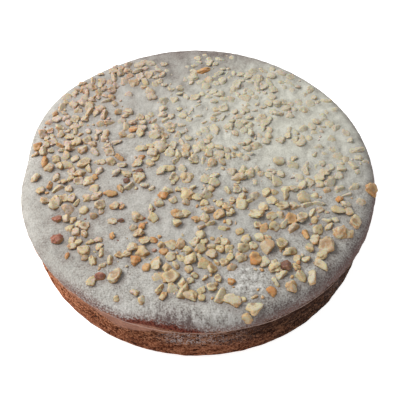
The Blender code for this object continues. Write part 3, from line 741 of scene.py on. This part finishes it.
def wall_looks(azimuth, height, over, band):
    """The attributes of the wall: its painted shade to the right and under the lip, how frosted, red and
    porous the crumb is, and a painted highlight just under the lip.
    """
    # dark: painted shade of the wall, by azimuth
    looks = {"over": over, "dark": by_azimuth(WALL_SHADE_BY_AZIMUTH, azimuth)}
    under = np.clip(bells(over, UNDER_LIP), 0, 1)
    looks["under"] = under * by_azimuth(SHADE_UNDER_LIP, azimuth) * (1 - band)
    looks["frost"] = np.clip(zones(azimuth, height, FROST), 0, 1) * smoothstep(0.0005, -0.0015, over)
    looks["red_base"] = smoothstep(0.024, 0.012, height) * bell(azimuth, *RED_BASE_BELL)
    looks["porous"] = bell(azimuth, *POROUS_BELL) * bell(height, 0.028 + 0.0004 * (azimuth + 116), 0.011, 4)
    # Painted highlight just under the lip at the left
    looks["painted_lip_light"] = smoothstep(-116, -130, azimuth) * bell(over, -0.004, 0.009)
    return looks


def top_looks(points, azimuth):
    """The attributes of the top: where its sugar is warmer, scuffed, calm and heaped, and where it is
    darkened as painted shade at the rim.
    """
    looks = {"warm": patch(points, *WARM_PATCH), "scuff": patch(points, *SCUFF_PATCH)}
    middle = 0.5 * smoothstep(0.100, 0.070, np.hypot(points[:, 0], points[:, 1] - 0.012))
    left = 0.55 * smoothstep(-122, -136, azimuth)
    back = smoothstep(-0.050, 0.065, points[:, 1] + 0.3 * points[:, 0])
    looks["calm"] = np.maximum(np.maximum(middle, left), back)
    # Brighter where heaped, darker at the right and back rim as painted shade
    looks["heaped_and_shaded"] = sum(amount * patch(points, x, y, radius) for x, y, radius, amount in SUGAR_PATCHES)
    return looks


def sponge_looks(points, over):
    """What lies on each point of the sponge and how it has baked, as attributes."""
    azimuth = np.degrees(np.arctan2(points[:, 1], points[:, 0]))
    looks = edge_looks(points, azimuth, over, over - bells(azimuth, SUGAR_EDGE))
    looks.update(wall_looks(azimuth, points[:, 2], over, looks["band"]))
    looks.update(top_looks(points, azimuth))
    return looks


def beside_nuts(points, nuts):
    """How shaded each point is by the nuts beside it, and how high the sugar has drifted there."""
    shade, drift = np.zeros(len(points)), np.zeros(len(points))
    top = points[:, 2] > LIP_HEIGHT
    for nut in nuts:
        place = np.array((nut.x, nut.y))
        distance = np.hypot(*(points[top, :2] - place).T) / nut.length
        drift[top] = np.maximum(drift[top], coat_at(nut.x, nut.y) * smoothstep(*DRIFT_REACH, distance))
        shaded = place + np.array(SHADE_SHIFT) * nut.length
        distance = np.hypot(*(points[top, :2] - shaded).T) / nut.length
        strength = 1 - 0.85 * dust_at(nut.x, nut.y)
        shade[top] = np.maximum(shade[top], strength * smoothstep(*SHADE_REACH, distance))
    return shade, drift


def sponge_relief(points, over, band):
    """How far each point stands out of the turned form, and how deep it lies in a pore or a crease."""
    wall = smoothstep(0.0010, -0.0018, over) * smoothstep(-0.001, 0.004, points[:, 2])
    rough = wall * smoothstep(0.0, 0.012, points[:, 2]) * (1 - 0.8 * band)
    crags = WALL_CRAG * np.clip(wall + 0.4 * bell(over, 0, 0.0022), 0, 1)
    relief = noise_at(points, WALL_CRAG_LENGTH) * crags
    for depth, length in CRUMB_RELIEF:
        relief += noise_at(points, length, 3.0) * depth * rough
    sugared = (1 - wall) * (0.4 + 0.6 * smoothstep(0.008, 0.020, over))
    for depth, length in SUGAR_LUMPS:
        relief += noise_at(points, length, 1.0) * depth * sugared
    wrinkles = noise_at(points * (1, 1, WRINKLE_SQUEEZE), WRINKLE_LENGTH, 2.0)
    crease = np.clip(1 - np.abs(wrinkles) / 0.12, 0, 1)
    pore = np.zeros(len(points))
    on_wall = wall > 0.3
    pore[on_wall] = pores(points[on_wall])
    relief -= (WRINKLE_DEPTH * crease + PORE_DEPTH * pore) * rough
    relief[points[:, 2] < 0.0002] = 0
    return relief, np.maximum(pore, 0.8 * crease) * rough


def make_sponge():
    points, normals, faces, over = sponge_points()
    looks = sponge_looks(points, over)
    relief, looks["pore"] = sponge_relief(points, over, looks["band"])
    looks["near_nut"], drift = beside_nuts(points, nut_places())
    moved = points + normals * (relief + DRIFT_HEIGHT * drift)[:, None]
    moved[:, 2] = np.maximum(moved[:, 2], 0)
    return add_piece("cake_sponge", moved, faces, looks)


# ---------------------------------------------------------------- the nuts


def coat_at(x, y):
    """How thickly the sugar coats a nut at (x, y), from 0 to 1."""
    return float(heavy_sugar(x, y) * smoothstep(*COAT_STARTS, x))


def dust_at(x, y):
    """How much of a nut at (x, y) the sugar covers."""
    spared = 0.62 * smoothstep(-0.012, -0.055, x)
    return float(0.22 + 0.20 * smoothstep(-0.085, 0.0, y) + 0.56 * heavy_sugar(x, y) * (1 - spared))


def rosiness(x):
    """How much red dust of the skins has come off on the sugar over a nut: most at the left."""
    return float(0.14 + 0.86 * smoothstep(-0.010, -0.070, x))


def umber_at(x, y):
    """How much darker the nuts were roasted: most at the back left."""
    back = smoothstep(0.02, 0.06, y) * smoothstep(-0.01, -0.05, x)
    return float(0.45 * smoothstep(0.0, -0.06, x) + 0.55 * back)


def ball(subdivisions):
    """The points of a unit ball and its triangles."""
    mesh = bmesh.new()
    bmesh.ops.create_icosphere(mesh, subdivisions=subdivisions, radius=1.0)
    points = np.array([vert.co for vert in mesh.verts])
    triangles = np.array([[vert.index for vert in face.verts] for face in mesh.faces])
    mesh.free()
    return points, triangles


def turned(points, degrees, axis):
    """The points turned about this axis through the origin."""
    return points @ np.array(Matrix.Rotation(math.radians(degrees), 3, axis)).T


def chop(index, nut_shape, directions, sharpness):
    """A lumpy ellipsoid with its sides chopped off: its points, and the share of chopped face at each."""
    sizes, cuts = nut_shape
    swell = 1 + sum(depth * noise_at(directions * rate, 1.0, 7.3 * index) for rate, depth in NUT_LUMPS)
    points = directions * np.array(sizes) * swell[:, None]
    press = sum(np.clip(points @ np.array(normal) / reach, 0, None) ** sharpness for normal, reach in cuts)
    return points * ((1 + press) ** (-1 / sharpness))[:, None], press / (1 + press)


def bite(points, draw, share_left):
    """The points with bites broken out of the piece, and how deep in one each lies, from 0 to 1."""
    outward = points / np.linalg.norm(points, axis=1)[:, None]
    depth = np.zeros(len(points))
    for _ in range(BITES):
        middle = draw.normal(0, 1, 3) * (1, 1, 0.7) + (0, 0, 0.3)
        middle /= np.linalg.norm(middle)
        width = math.radians(draw.uniform(*BITE_WIDTH))
        share = bell(np.arccos(np.clip(outward @ middle, -1, 1)), 0, width, 3)
        depth = np.maximum(depth, share_left * draw.uniform(*BITE_DEPTH) * share)
    return points * (1 - depth)[:, None], smoothstep(0.08, BITE_DEPTH[1], depth)


def cup_hollow(points, sizes, draw):
    """How deep each point lies in the hollow of a cup, from 0 to 1."""
    shift = draw.uniform(-HOLLOW_SHIFT, HOLLOW_SHIFT, 2)
    across = sum(((points[:, i] / sizes[i] - shift[i]) / HOLLOW_SIZE[i]) ** 2 for i in (0, 1))
    return np.exp(-(across**1.5)) * (points[:, 2] > 0)


def lay(points, x, y, yaw, sink):
    """The points laid on the sponge at (x, y), turned by yaw and sunk in by this share of their height."""
    points = turned(points, yaw, "Z")
    lowest, highest = points[:, 2].min(), points[:, 2].max()
    normal = surface_normal(x, y)
    lift = -lowest - sink * (highest - lowest)
    lean = np.array(Vector((0, 0, 1)).rotation_difference(normal).to_matrix())
    return points @ lean.T + np.array(Vector((x, y, surface_height(x, y))) + normal * lift)


def nut_surface(index, nut, directions):
    """A piece as it lies: points, share of chopped face, depth in a hollow and how low on the piece."""
    coat = coat_at(nut.x, nut.y)
    sizes, cuts, tilts, sink = nut_form(index, nut)
    sharpness = EDGE_SHARPNESS + (COATED_SHARPNESS - EDGE_SHARPNESS) * coat
    points, chopped = chop(index, (sizes, cuts), directions, sharpness)
    points = points * (1 + COAT_SWELL * coat * np.array((1, 1, 0)))
    draw = np.random.default_rng(NUT_SEED * 1000 + index)
    waves_left, bites_left = (1 - smoothing * coat for smoothing in COAT_SMOOTHING)
    for depth, rate, count in NUT_WAVES:
        waves = draw.normal(0, 1, (count, 3)) * rate / nut.length
        ripple = np.cos(points @ waves.T + draw.uniform(0, math.tau, count)).sum(1) / math.sqrt(count)
        points = points * (1 + depth * waves_left * ripple)[:, None]
    points, hollow = bite(points, draw, bites_left)
    if nut.kind == "cup":
        cup = cup_hollow(points, sizes, draw)
        points[:, 2] -= HOLLOW_DEPTH * nut.length * cup
        hollow = np.maximum(hollow, cup)
    for tilt, axis in zip(tilts, "XY"):
        points = turned(points, tilt, axis)
    span = points[:, 2].max() - points[:, 2].min()
    low = 1 - smoothstep(0.25, 0.85, (points[:, 2] - points[:, 2].min()) / span)
    return lay(points, nut.x, nut.y, nut.yaw, sink), chopped, hollow, low


def look_of(draw):
    """The look of a piece that has none set."""
    share = draw.random()
    return next(look for look, up_to in LOOK_SHARES if share < up_to)


def nut_looks(nut, draw, chopped, hollow, low):
    """The attributes of a piece."""
    look = nut.look or look_of(draw)
    toast, browned = LOOKS[look]
    dust = dust_at(nut.x, nut.y)
    looks = {"chopped": chopped, "hollow": hollow, "browned": browned, "low": low * (1 - 0.8 * dust)}
    looks["tone"] = draw.random()
    looks["toast"] = min(1.0, max(0.0, toast + draw.uniform(-0.15, 0.15)))
    looks["dust"] = dust + draw.uniform(-0.12, 0.12)
    looks["rosy"] = draw.random() * (1 - 0.4 * heavy_sugar(nut.x, nut.y)) * rosiness(nut.x)
    looks["umber"] = umber_at(nut.x, nut.y)
    looks["skinned"] = SKINNED.get(look, 0.0)
    if look == "dark":
        looks["tone"] = 1.0
    if nut.look in ("orange", "skin", "dark"):
        looks["dust"] = min(looks["dust"] - 0.40, 0.12)
    return looks


def join_parts(name, parts):
    """One piece from parts, each its points, triangles and attributes, with values or one value for all."""
    vertices = np.concatenate([points for points, triangles, looks in parts])
    firsts = np.cumsum([0] + [len(points) for points, triangles, looks in parts])
    faces = np.concatenate([triangles + first for (points, triangles, looks), first in zip(parts, firsts)])
    looks = {
        key: np.concatenate([np.broadcast_to(looks[key], len(points)) for points, triangles, looks in parts])
        for key in parts[0][2]
    }
    return add_piece(name, vertices, faces, looks)


def make_nuts():
    """The nuts, one piece for each kind."""
    fine, coarse = ball(FINE_BALL), ball(COARSE_BALL)
    groups = {}
    draw = random.Random(NUT_SEED + 1)
    for index, nut in enumerate(nut_places()):
        directions, triangles = fine if nut.length > FINE_NUT else coarse
        points, *surface = nut_surface(index, nut, directions)
        part = (points, triangles, nut_looks(nut, draw, *surface))
        groups.setdefault(f"nuts_{nut.kind}s", []).append(part)
    return [join_parts(name, parts) for name, parts in sorted(groups.items())]


def crumb(draw, directions, size, x, y):
    """A crumb of nut as it lies: its points and attributes."""
    sizes = np.array([0.5, draw.uniform(0.3, 0.45), draw.uniform(0.2, 0.34)]) * size
    waves = np.array([[draw.gauss(0, 1.6) for axis in range(3)] for wave in range(4)])
    swell = 1 + CRUMB_WAVE * np.cos(directions @ waves.T + draw.uniform(0, math.tau)).sum(1)
    points = lay(directions * sizes * swell[:, None], x, y, draw.uniform(0, 360), 0.3)
    looks = {"chopped": draw.random(), "browned": draw.choice((0.1, 0.5, 0.9)), "toast": draw.random()}
    looks["skinned"] = float(draw.random() < 0.12)
    looks["tone"] = draw.random()
    looks.update(hollow=0.0, low=0.2, rosy=0.5, dust=dust_at(x, y), umber=umber_at(x, y))
    return points, looks


def make_crumbs():
    """Crumbs that came off the nuts, most of them close beside one."""
    draw = random.Random(CRUMB_SEED)
    directions, triangles = ball(CRUMB_BALL)
    nuts = nut_places()
    smallest, largest = CRUMB_SIZE
    parts = []
    while len(parts) < CRUMB_COUNT:
        nut = draw.choice(nuts)
        turn = draw.uniform(0, math.tau)
        size = smallest + (largest - smallest) * draw.random() ** 1.6
        reach = nut.length * draw.uniform(0.5, 1.1)
        x, y = nut.x + reach * math.cos(turn), nut.y + reach * math.sin(turn)
        if math.hypot(x, y) > nut_reach(math.degrees(math.atan2(y, x))):
            continue
        points, looks = crumb(draw, directions, size, x, y)
        parts.append((points, triangles, looks))
    return join_parts("nut_crumbs", parts)


# ---------------------------------------------------------------- materials


class Nodes:
    """A material's node tree, with short calls for its nodes."""

    def __init__(self, name):
        self.material = bpy.data.materials.new(name)
        self.material.use_nodes = True
        self.tree = self.material.node_tree
        self.shader = self.tree.nodes["Principled BSDF"]
        self.place = self.add("TexCoord", {}).outputs["Object"]

    def add(self, kind, inputs):
        """A new node of this kind, with its inputs filled."""
        node = self.tree.nodes.new("ShaderNode" + kind)
        self.fill(node, inputs)
        return node

    def fill(self, node, inputs):
        """Fills the inputs that are named or numbered: links an output to them, and sets anything else."""
        for key, value in inputs.items():
            if isinstance(value, bpy.types.NodeSocket):
                self.tree.links.new(value, node.inputs[key])
            else:
                node.inputs[key].default_value = value

    def attribute(self, name, strength=1.0):
        """An attribute of the mesh, times strength."""
        node = self.add("Attribute", {})
        node.attribute_name = name
        value = node.outputs["Fac"]
        return value if strength == 1.0 else self.times(value, strength)

    def noise(self, length, detail=3.0, roughness=0.55, squeeze=None):
        """Noise from 0 to 1, with features of this length in metres."""
        place = self.place
        if squeeze:
            place = self.add("Mapping", {"Vector": place, "Scale": squeeze}).outputs["Vector"]
        settings = {"Vector": place, "Scale": 1 / length, "Detail": detail, "Roughness": roughness}
        return self.add("TexNoise", settings).outputs["Fac"]

    def cells(self, length):
        """The distance to the nearest of scattered points, this far apart."""
        return self.add("TexVoronoi", {"Vector": self.place, "Scale": 1 / length}).outputs["Distance"]

    def math(self, operation, *values):
        """The outcome of a sum on one or two values."""
        node = self.add("Math", dict(enumerate(values)))
        node.operation = operation
        return node.outputs[0]

    def times(self, a, b):
        return self.math("MULTIPLY", a, b)

    def plus(self, *values):
        """The sum of the values."""
        total, *others = values
        for value in others:
            total = self.math("ADD", total, value)
        return total

    def range(self, value, low, high, to_low=0.0, to_high=1.0):
        """value taken from the range low to high into to_low to to_high, with soft ends."""
        ends = {"From Min": low, "From Max": high, "To Min": to_low, "To Max": to_high}
        node = self.add("MapRange", {"Value": value, **ends})
        node.interpolation_type = "SMOOTHSTEP"
        return node.outputs["Result"]

    def mix(self, share, a, b, blend="MIX"):
        """The colours a and b, b's part in the mixture being share."""
        node = self.add("Mix", {"Factor": share})
        node.data_type = "RGBA"
        node.blend_type = blend
        colours = [i for i, socket in enumerate(node.inputs) if socket.type == "RGBA"]
        values = [(*value, 1.0) if isinstance(value, tuple) else value for value in (a, b)]
        self.fill(node, dict(zip(colours, values)))
        return next(socket for socket in node.outputs if socket.type == "RGBA")

    def ramp(self, value, stops):
        """A colour for value, from stops that are each a position and a colour."""
        node = self.add("ValToRGB", {"Fac": value})
        elements = node.color_ramp.elements
        while len(elements) < len(stops):
            elements.new(0.5)
        for element, (position, colour) in zip(elements, stops):
            element.position = position
            element.color = (*colour, 1.0)
        return node.outputs["Color"]

    def facing(self, direction):
        """How far the surface faces this way, from -1 to 1."""
        normal = self.add("NewGeometry", {}).outputs["Normal"]
        node = self.add("VectorMath", {0: normal, 1: direction})
        node.operation = "DOT_PRODUCT"
        return node.outputs["Value"]

    def bump(self, height, distance, strength, under=None):
        """A normal roughened by height, on top of the normal under it if there is one."""
        inputs = {"Height": height, "Distance": distance, "Strength": strength}
        if under:
            inputs["Normal"] = under
        return self.add("Bump", inputs).outputs["Normal"]


def crumb_colour(nodes):
    """The browned sponge: orange brown at the left and darker to the right as painted shade, with a lip pale
    from sugar dust and a painted highlight, and a red strip.
    """
    streaks = nodes.noise(0.0060, 4.0, 0.62, (1, 1, 2.6))
    fine = nodes.noise(0.0012, 3.0, 0.6)
    stir = nodes.plus(nodes.times(streaks, 0.42), nodes.times(fine, 0.58))
    # Painted shade: the shaded crumb takes over towards the right, away from the key light
    colour = nodes.mix(nodes.attribute("dark"), nodes.ramp(stir, LIT_CRUMB), nodes.ramp(stir, SHADED_CRUMB))
    colour = nodes.mix(nodes.attribute("red_base", 0.7), colour, nodes.ramp(stir, RED_CRUMB))
    # Painted shade in pits, pores and creases
    pits = nodes.range(nodes.cells(0.0026), 0.36, 0.16)
    colour = nodes.mix(nodes.times(pits, nodes.attribute("porous")), colour, PIT_SHADE)
    colour = nodes.mix(nodes.attribute("pore", 0.40), colour, PORE_SHADE)
    # Painted highlight under the lip at the left
    colour = nodes.mix(nodes.attribute("painted_lip_light", 0.60), colour, LIT_LIP_CRUMB)
    # The smooth band: its own colour with a painted sheen
    smooth = nodes.mix(nodes.range(streaks, 0.35, 0.65), *SMOOTH_CRUMB_AND_SHEEN)
    colour = nodes.mix(nodes.attribute("band", 0.78), colour, smooth)
    red = nodes.mix(nodes.range(fine, 0.40, 0.58), *RED_STRIP)
    colour = nodes.mix(nodes.range(nodes.attribute("strip"), 0.15, 0.6, 0.0, 0.92), colour, red)
    # A pale line along the lip: sugar dust and a painted highlight
    lip = nodes.range(nodes.math("ABSOLUTE", nodes.attribute("over")), 0.0011, 0.0003, 0.0, 0.75)
    colour = nodes.mix(lip, colour, LIP_DUST_AND_HIGHLIGHT)
    colour = nodes.mix(nodes.attribute("under", 0.90), colour, CRUMB_SHADE)
    specks = nodes.range(nodes.noise(0.0010, 2.0, 0.7), 0.50, 0.58)
    specks = nodes.times(specks, nodes.range(nodes.noise(0.0045, 2.0), 0.30, 0.55, 0.15, 1.0))
    return nodes.mix(nodes.times(nodes.attribute("frost"), specks), colour, FROST_COLOUR)


def sugar_colour(nodes, grain):
    """Icing sugar in fine grains, thinner in patches, darker at its rim where it is thin and stained and
    where painted shade falls, whiter where it has slid into wisps at the front.
    """
    wisps = nodes.noise(0.0030, 3.0, 0.62, (1, 0.42, 0.42))
    wisps = nodes.times(nodes.range(wisps, 0.38, 0.64, -0.070, 0.170), nodes.attribute("wisps"))
    scuff = nodes.range(nodes.noise(0.0030, 3.0, 0.6), 0.40, 0.64, -0.04, 0.20)
    scuff = nodes.times(scuff, nodes.attribute("scuff"))
    calm_grain = {"Factor": nodes.attribute("calm", 0.72), "A": grain, "B": 0.5}
    grain = nodes.add("Mix", calm_grain).outputs["Result"]
    value = nodes.plus(nodes.times(grain, 0.70), nodes.times(nodes.noise(0.0085), 0.30))
    # Darker near the edge: thin sugar and painted shade
    value = nodes.math("SUBTRACT", value, nodes.attribute("thin", 0.150))
    value = nodes.plus(value, wisps, scuff, nodes.attribute("heaped_and_shaded"))
    sugar = nodes.mix(nodes.attribute("thin"), nodes.ramp(value, SUGAR), THIN_AND_SHADE_TINT, "MULTIPLY")
    # Stain and painted shade near the sugar's edge
    stain_and_shade = nodes.times(nodes.attribute("stain_and_shade"), nodes.range(grain, 0.62, 0.38, 0.30, 1.0))
    sugar = nodes.mix(stain_and_shade, sugar, SUGAR_STAIN_AND_SHADE)
    return nodes.mix(nodes.attribute("warm"), sugar, WARM_TINT, "MULTIPLY")


def crust_material():
    """Browned crumb under icing sugar, which ends where the attribute past_edge falls to nothing."""
    nodes = Nodes("sugared_crust")
    grain = nodes.noise(0.00105, 2.0, 0.65)
    pits = nodes.times(nodes.range(nodes.cells(0.0021), 0.40, 0.20), nodes.attribute("pits", 0.85))
    sugar = nodes.mix(pits, sugar_colour(nodes, grain), SUGAR_PIT)
    sugar = nodes.mix(nodes.attribute("near_nut", 0.40), sugar, SUGAR_SHADE)
    ragged = nodes.plus(nodes.attribute("past_edge"), nodes.range(grain, 0.35, 0.65, -0.0007, 0.0007))
    share = nodes.range(ragged, -0.0010, 0.0018, 0.0, 0.97)
    coarse = nodes.bump(nodes.noise(0.0022, 4.0, 0.6), 0.0009, 0.6)
    looks = {
        "Base Color": nodes.mix(share, crumb_colour(nodes), sugar),
        "Normal": nodes.bump(grain, 0.0006, 0.7, coarse),
        "Roughness": 0.88,
        "Specular IOR Level": 0.03,
    }
    nodes.fill(nodes.shader, looks)
    return nodes.material


def kernel_colour(nodes):
    """Hazelnut without its sugar: cream where it is chopped, tan to orange brown outside, with painted shade
    in its hollows and bites.
    """
    tone, toast, browned = (nodes.attribute(name) for name in ("tone", "toast", "browned"))
    mottle = nodes.noise(0.0021, 3.0, 0.65)
    patchy = nodes.range(mottle, 0.35, 0.60)
    spread = nodes.plus(mottle, nodes.times(browned, 0.16))
    flesh = nodes.mix(nodes.range(mottle, 0.46, 0.34, 0.0, 0.50), nodes.mix(tone, *FLESH), FLESH_MOTTLE)
    flesh = nodes.mix(nodes.range(spread, 0.54, 0.72, 0.0, 0.62), flesh, FLESH_BROWNED)
    skin = nodes.mix(nodes.range(mottle, 0.35, 0.60, 0.50, 0.0), nodes.mix(toast, *SKIN), SKIN_MOTTLE)
    colour = nodes.mix(nodes.range(nodes.attribute("chopped"), 0.25, 0.75), skin, flesh)
    roasted = nodes.range(browned, 0.70, 0.90, 0.0, 0.48)
    colour = nodes.mix(roasted, colour, nodes.mix(patchy, *ROASTED))
    husk = nodes.mix(nodes.range(mottle, 0.35, 0.65), *HUSK)
    husk = nodes.mix(nodes.range(tone, 0.6, 1.0), husk, DARK_HUSK)
    colour = nodes.mix(nodes.attribute("skinned", 0.9), colour, husk)
    # Painted shade in hollows and bites
    return nodes.mix(nodes.range(nodes.attribute("hollow"), 0.1, 0.9, 0.0, 0.65), colour, HOLLOW_SHADE)


def nut_material():
    """Roasted hazelnut with sugar on the side that it was sifted from, and bare on the other, which is also
    painted darker as shade away from the key light.
    """
    nodes = Nodes("hazelnut")
    grain = nodes.noise(0.0009, 3.0, 0.65)
    sifted_and_lit = nodes.facing(SIFT_AND_KEY_SIDE)
    dust = nodes.attribute("dust")
    open_to_it = nodes.range(dust, 0.22, 0.66, 1.0, 0.12)
    # Painted shade at a nut's foot
    foot_shade = nodes.times(nodes.attribute("low"), nodes.range(sifted_and_lit, 0.5, 0.0, 0.10, 0.75))
    colour = nodes.mix(nodes.times(foot_shade, open_to_it), kernel_colour(nodes), NUT_FOOT_SHADE)
    # Painted shade: bare, darker flesh on the side away from the sift and the key light
    bare_and_shaded = nodes.times(nodes.range(sifted_and_lit, 0.40, -0.30, 0.0, 0.80), open_to_it)
    colour = nodes.mix(bare_and_shaded, colour, NUT_BARE_IN_SHADE)
    # Less powder on the side away from the sift and the key light, which darkens it too
    facing = nodes.times(nodes.range(sifted_and_lit, -0.05, 0.80, -0.60, 0.0), open_to_it)
    fine = nodes.range(grain, 0.35, 0.65, -0.22, 0.22)
    patchy = nodes.range(nodes.noise(0.0042, 2.0), 0.36, 0.64, -0.30, 0.42)
    share = nodes.range(nodes.plus(facing, dust, fine, patchy), 0.15, 0.95, 0.0, 0.88)
    powder = nodes.mix(nodes.range(grain, 0.40, 0.62), *POWDER)
    powder = nodes.mix(nodes.attribute("rosy"), powder, ROSY_POWDER)
    colour = nodes.mix(share, colour, powder)
    looks = {
        "Base Color": nodes.mix(nodes.attribute("umber"), colour, UMBER_TINT, "MULTIPLY"),
        "Normal": nodes.bump(grain, 0.0004, 0.5),
        "Roughness": 0.66,
        "Specular IOR Level": 0.25,
        "Subsurface Weight": 0.45,
        "Subsurface Radius": (1.0, 0.42, 0.14),
        "Subsurface Scale": 0.0016,
    }
    nodes.fill(nodes.shader, looks)
    return nodes.material


def floor_material():
    nodes = Nodes("pale_floor")
    looks = {
        "Base Color": FLOOR_COLOUR,
        "Emission Color": WHITE,
        "Emission Strength": FLOOR_GLOW,
        "Roughness": 1.0,
        "Specular IOR Level": 0.0,
    }
    nodes.fill(nodes.shader, looks)
    return nodes.material


# ---------------------------------------------------------------- the stage


def make_floor():
    corners = [(x * FLOOR_REACH, y * FLOOR_REACH, 0) for x, y in ((-1, -1), (1, -1), (1, 1), (-1, 1))]
    floor = add_piece("floor", np.array(corners, float), np.array([(0, 1, 2, 3)]), {})
    floor.data.materials.append(floor_material())


def toward(azimuth, elevation):
    """The unit vector that points this way."""
    across, up = math.radians(azimuth), math.radians(elevation)
    return Vector((math.cos(up) * math.cos(across), math.cos(up) * math.sin(across), math.sin(up)))


def place_at(name, data, location, target):
    """A lamp or camera with this data at the location, looking at the target."""
    obj = bpy.data.objects.new(name, data)
    bpy.context.scene.collection.objects.link(obj)
    obj.location = location
    obj.rotation_euler = (Vector(target) - obj.location).to_track_quat("-Z", "Y").to_euler()
    return obj


def make_key_light():
    """A square soft light."""
    data = bpy.data.lights.new("key", "AREA")
    data.size = KEY_SIZE
    data.energy = KEY_ENERGY
    data.color = KEY_COLOUR
    place_at("key", data, KEY_DISTANCE * toward(*KEY_DIRECTION), (0, 0, LIP_HEIGHT))


def make_world():
    world = bpy.data.worlds.new("studio")
    world.use_nodes = True
    background = world.node_tree.nodes["Background"]
    background.inputs["Color"].default_value = WHITE
    background.inputs["Strength"].default_value = SKY_STRENGTH
    bpy.context.scene.world = world


def make_camera():
    data = bpy.data.cameras.new("camera")
    data.sensor_width = SENSOR_WIDTH
    data.lens = CAMERA_LENS
    location = Vector(CAMERA_AIM) + CAMERA_DISTANCE * toward(-90, CAMERA_ELEVATION)
    bpy.context.scene.camera = place_at("camera", data, location, CAMERA_AIM)


def main():
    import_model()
    sponge = make_sponge()
    sponge.data.materials.append(crust_material())
    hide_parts("cake")
    hazelnut = nut_material()
    for piece in make_nuts() + [make_crumbs()]:
        piece.data.materials.append(hazelnut)
        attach(piece, "root")
    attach(sponge, "root")
    make_floor()
    make_key_light()
    make_world()
    make_camera()
    bpy.context.scene.view_settings.view_transform = "Standard"


main()
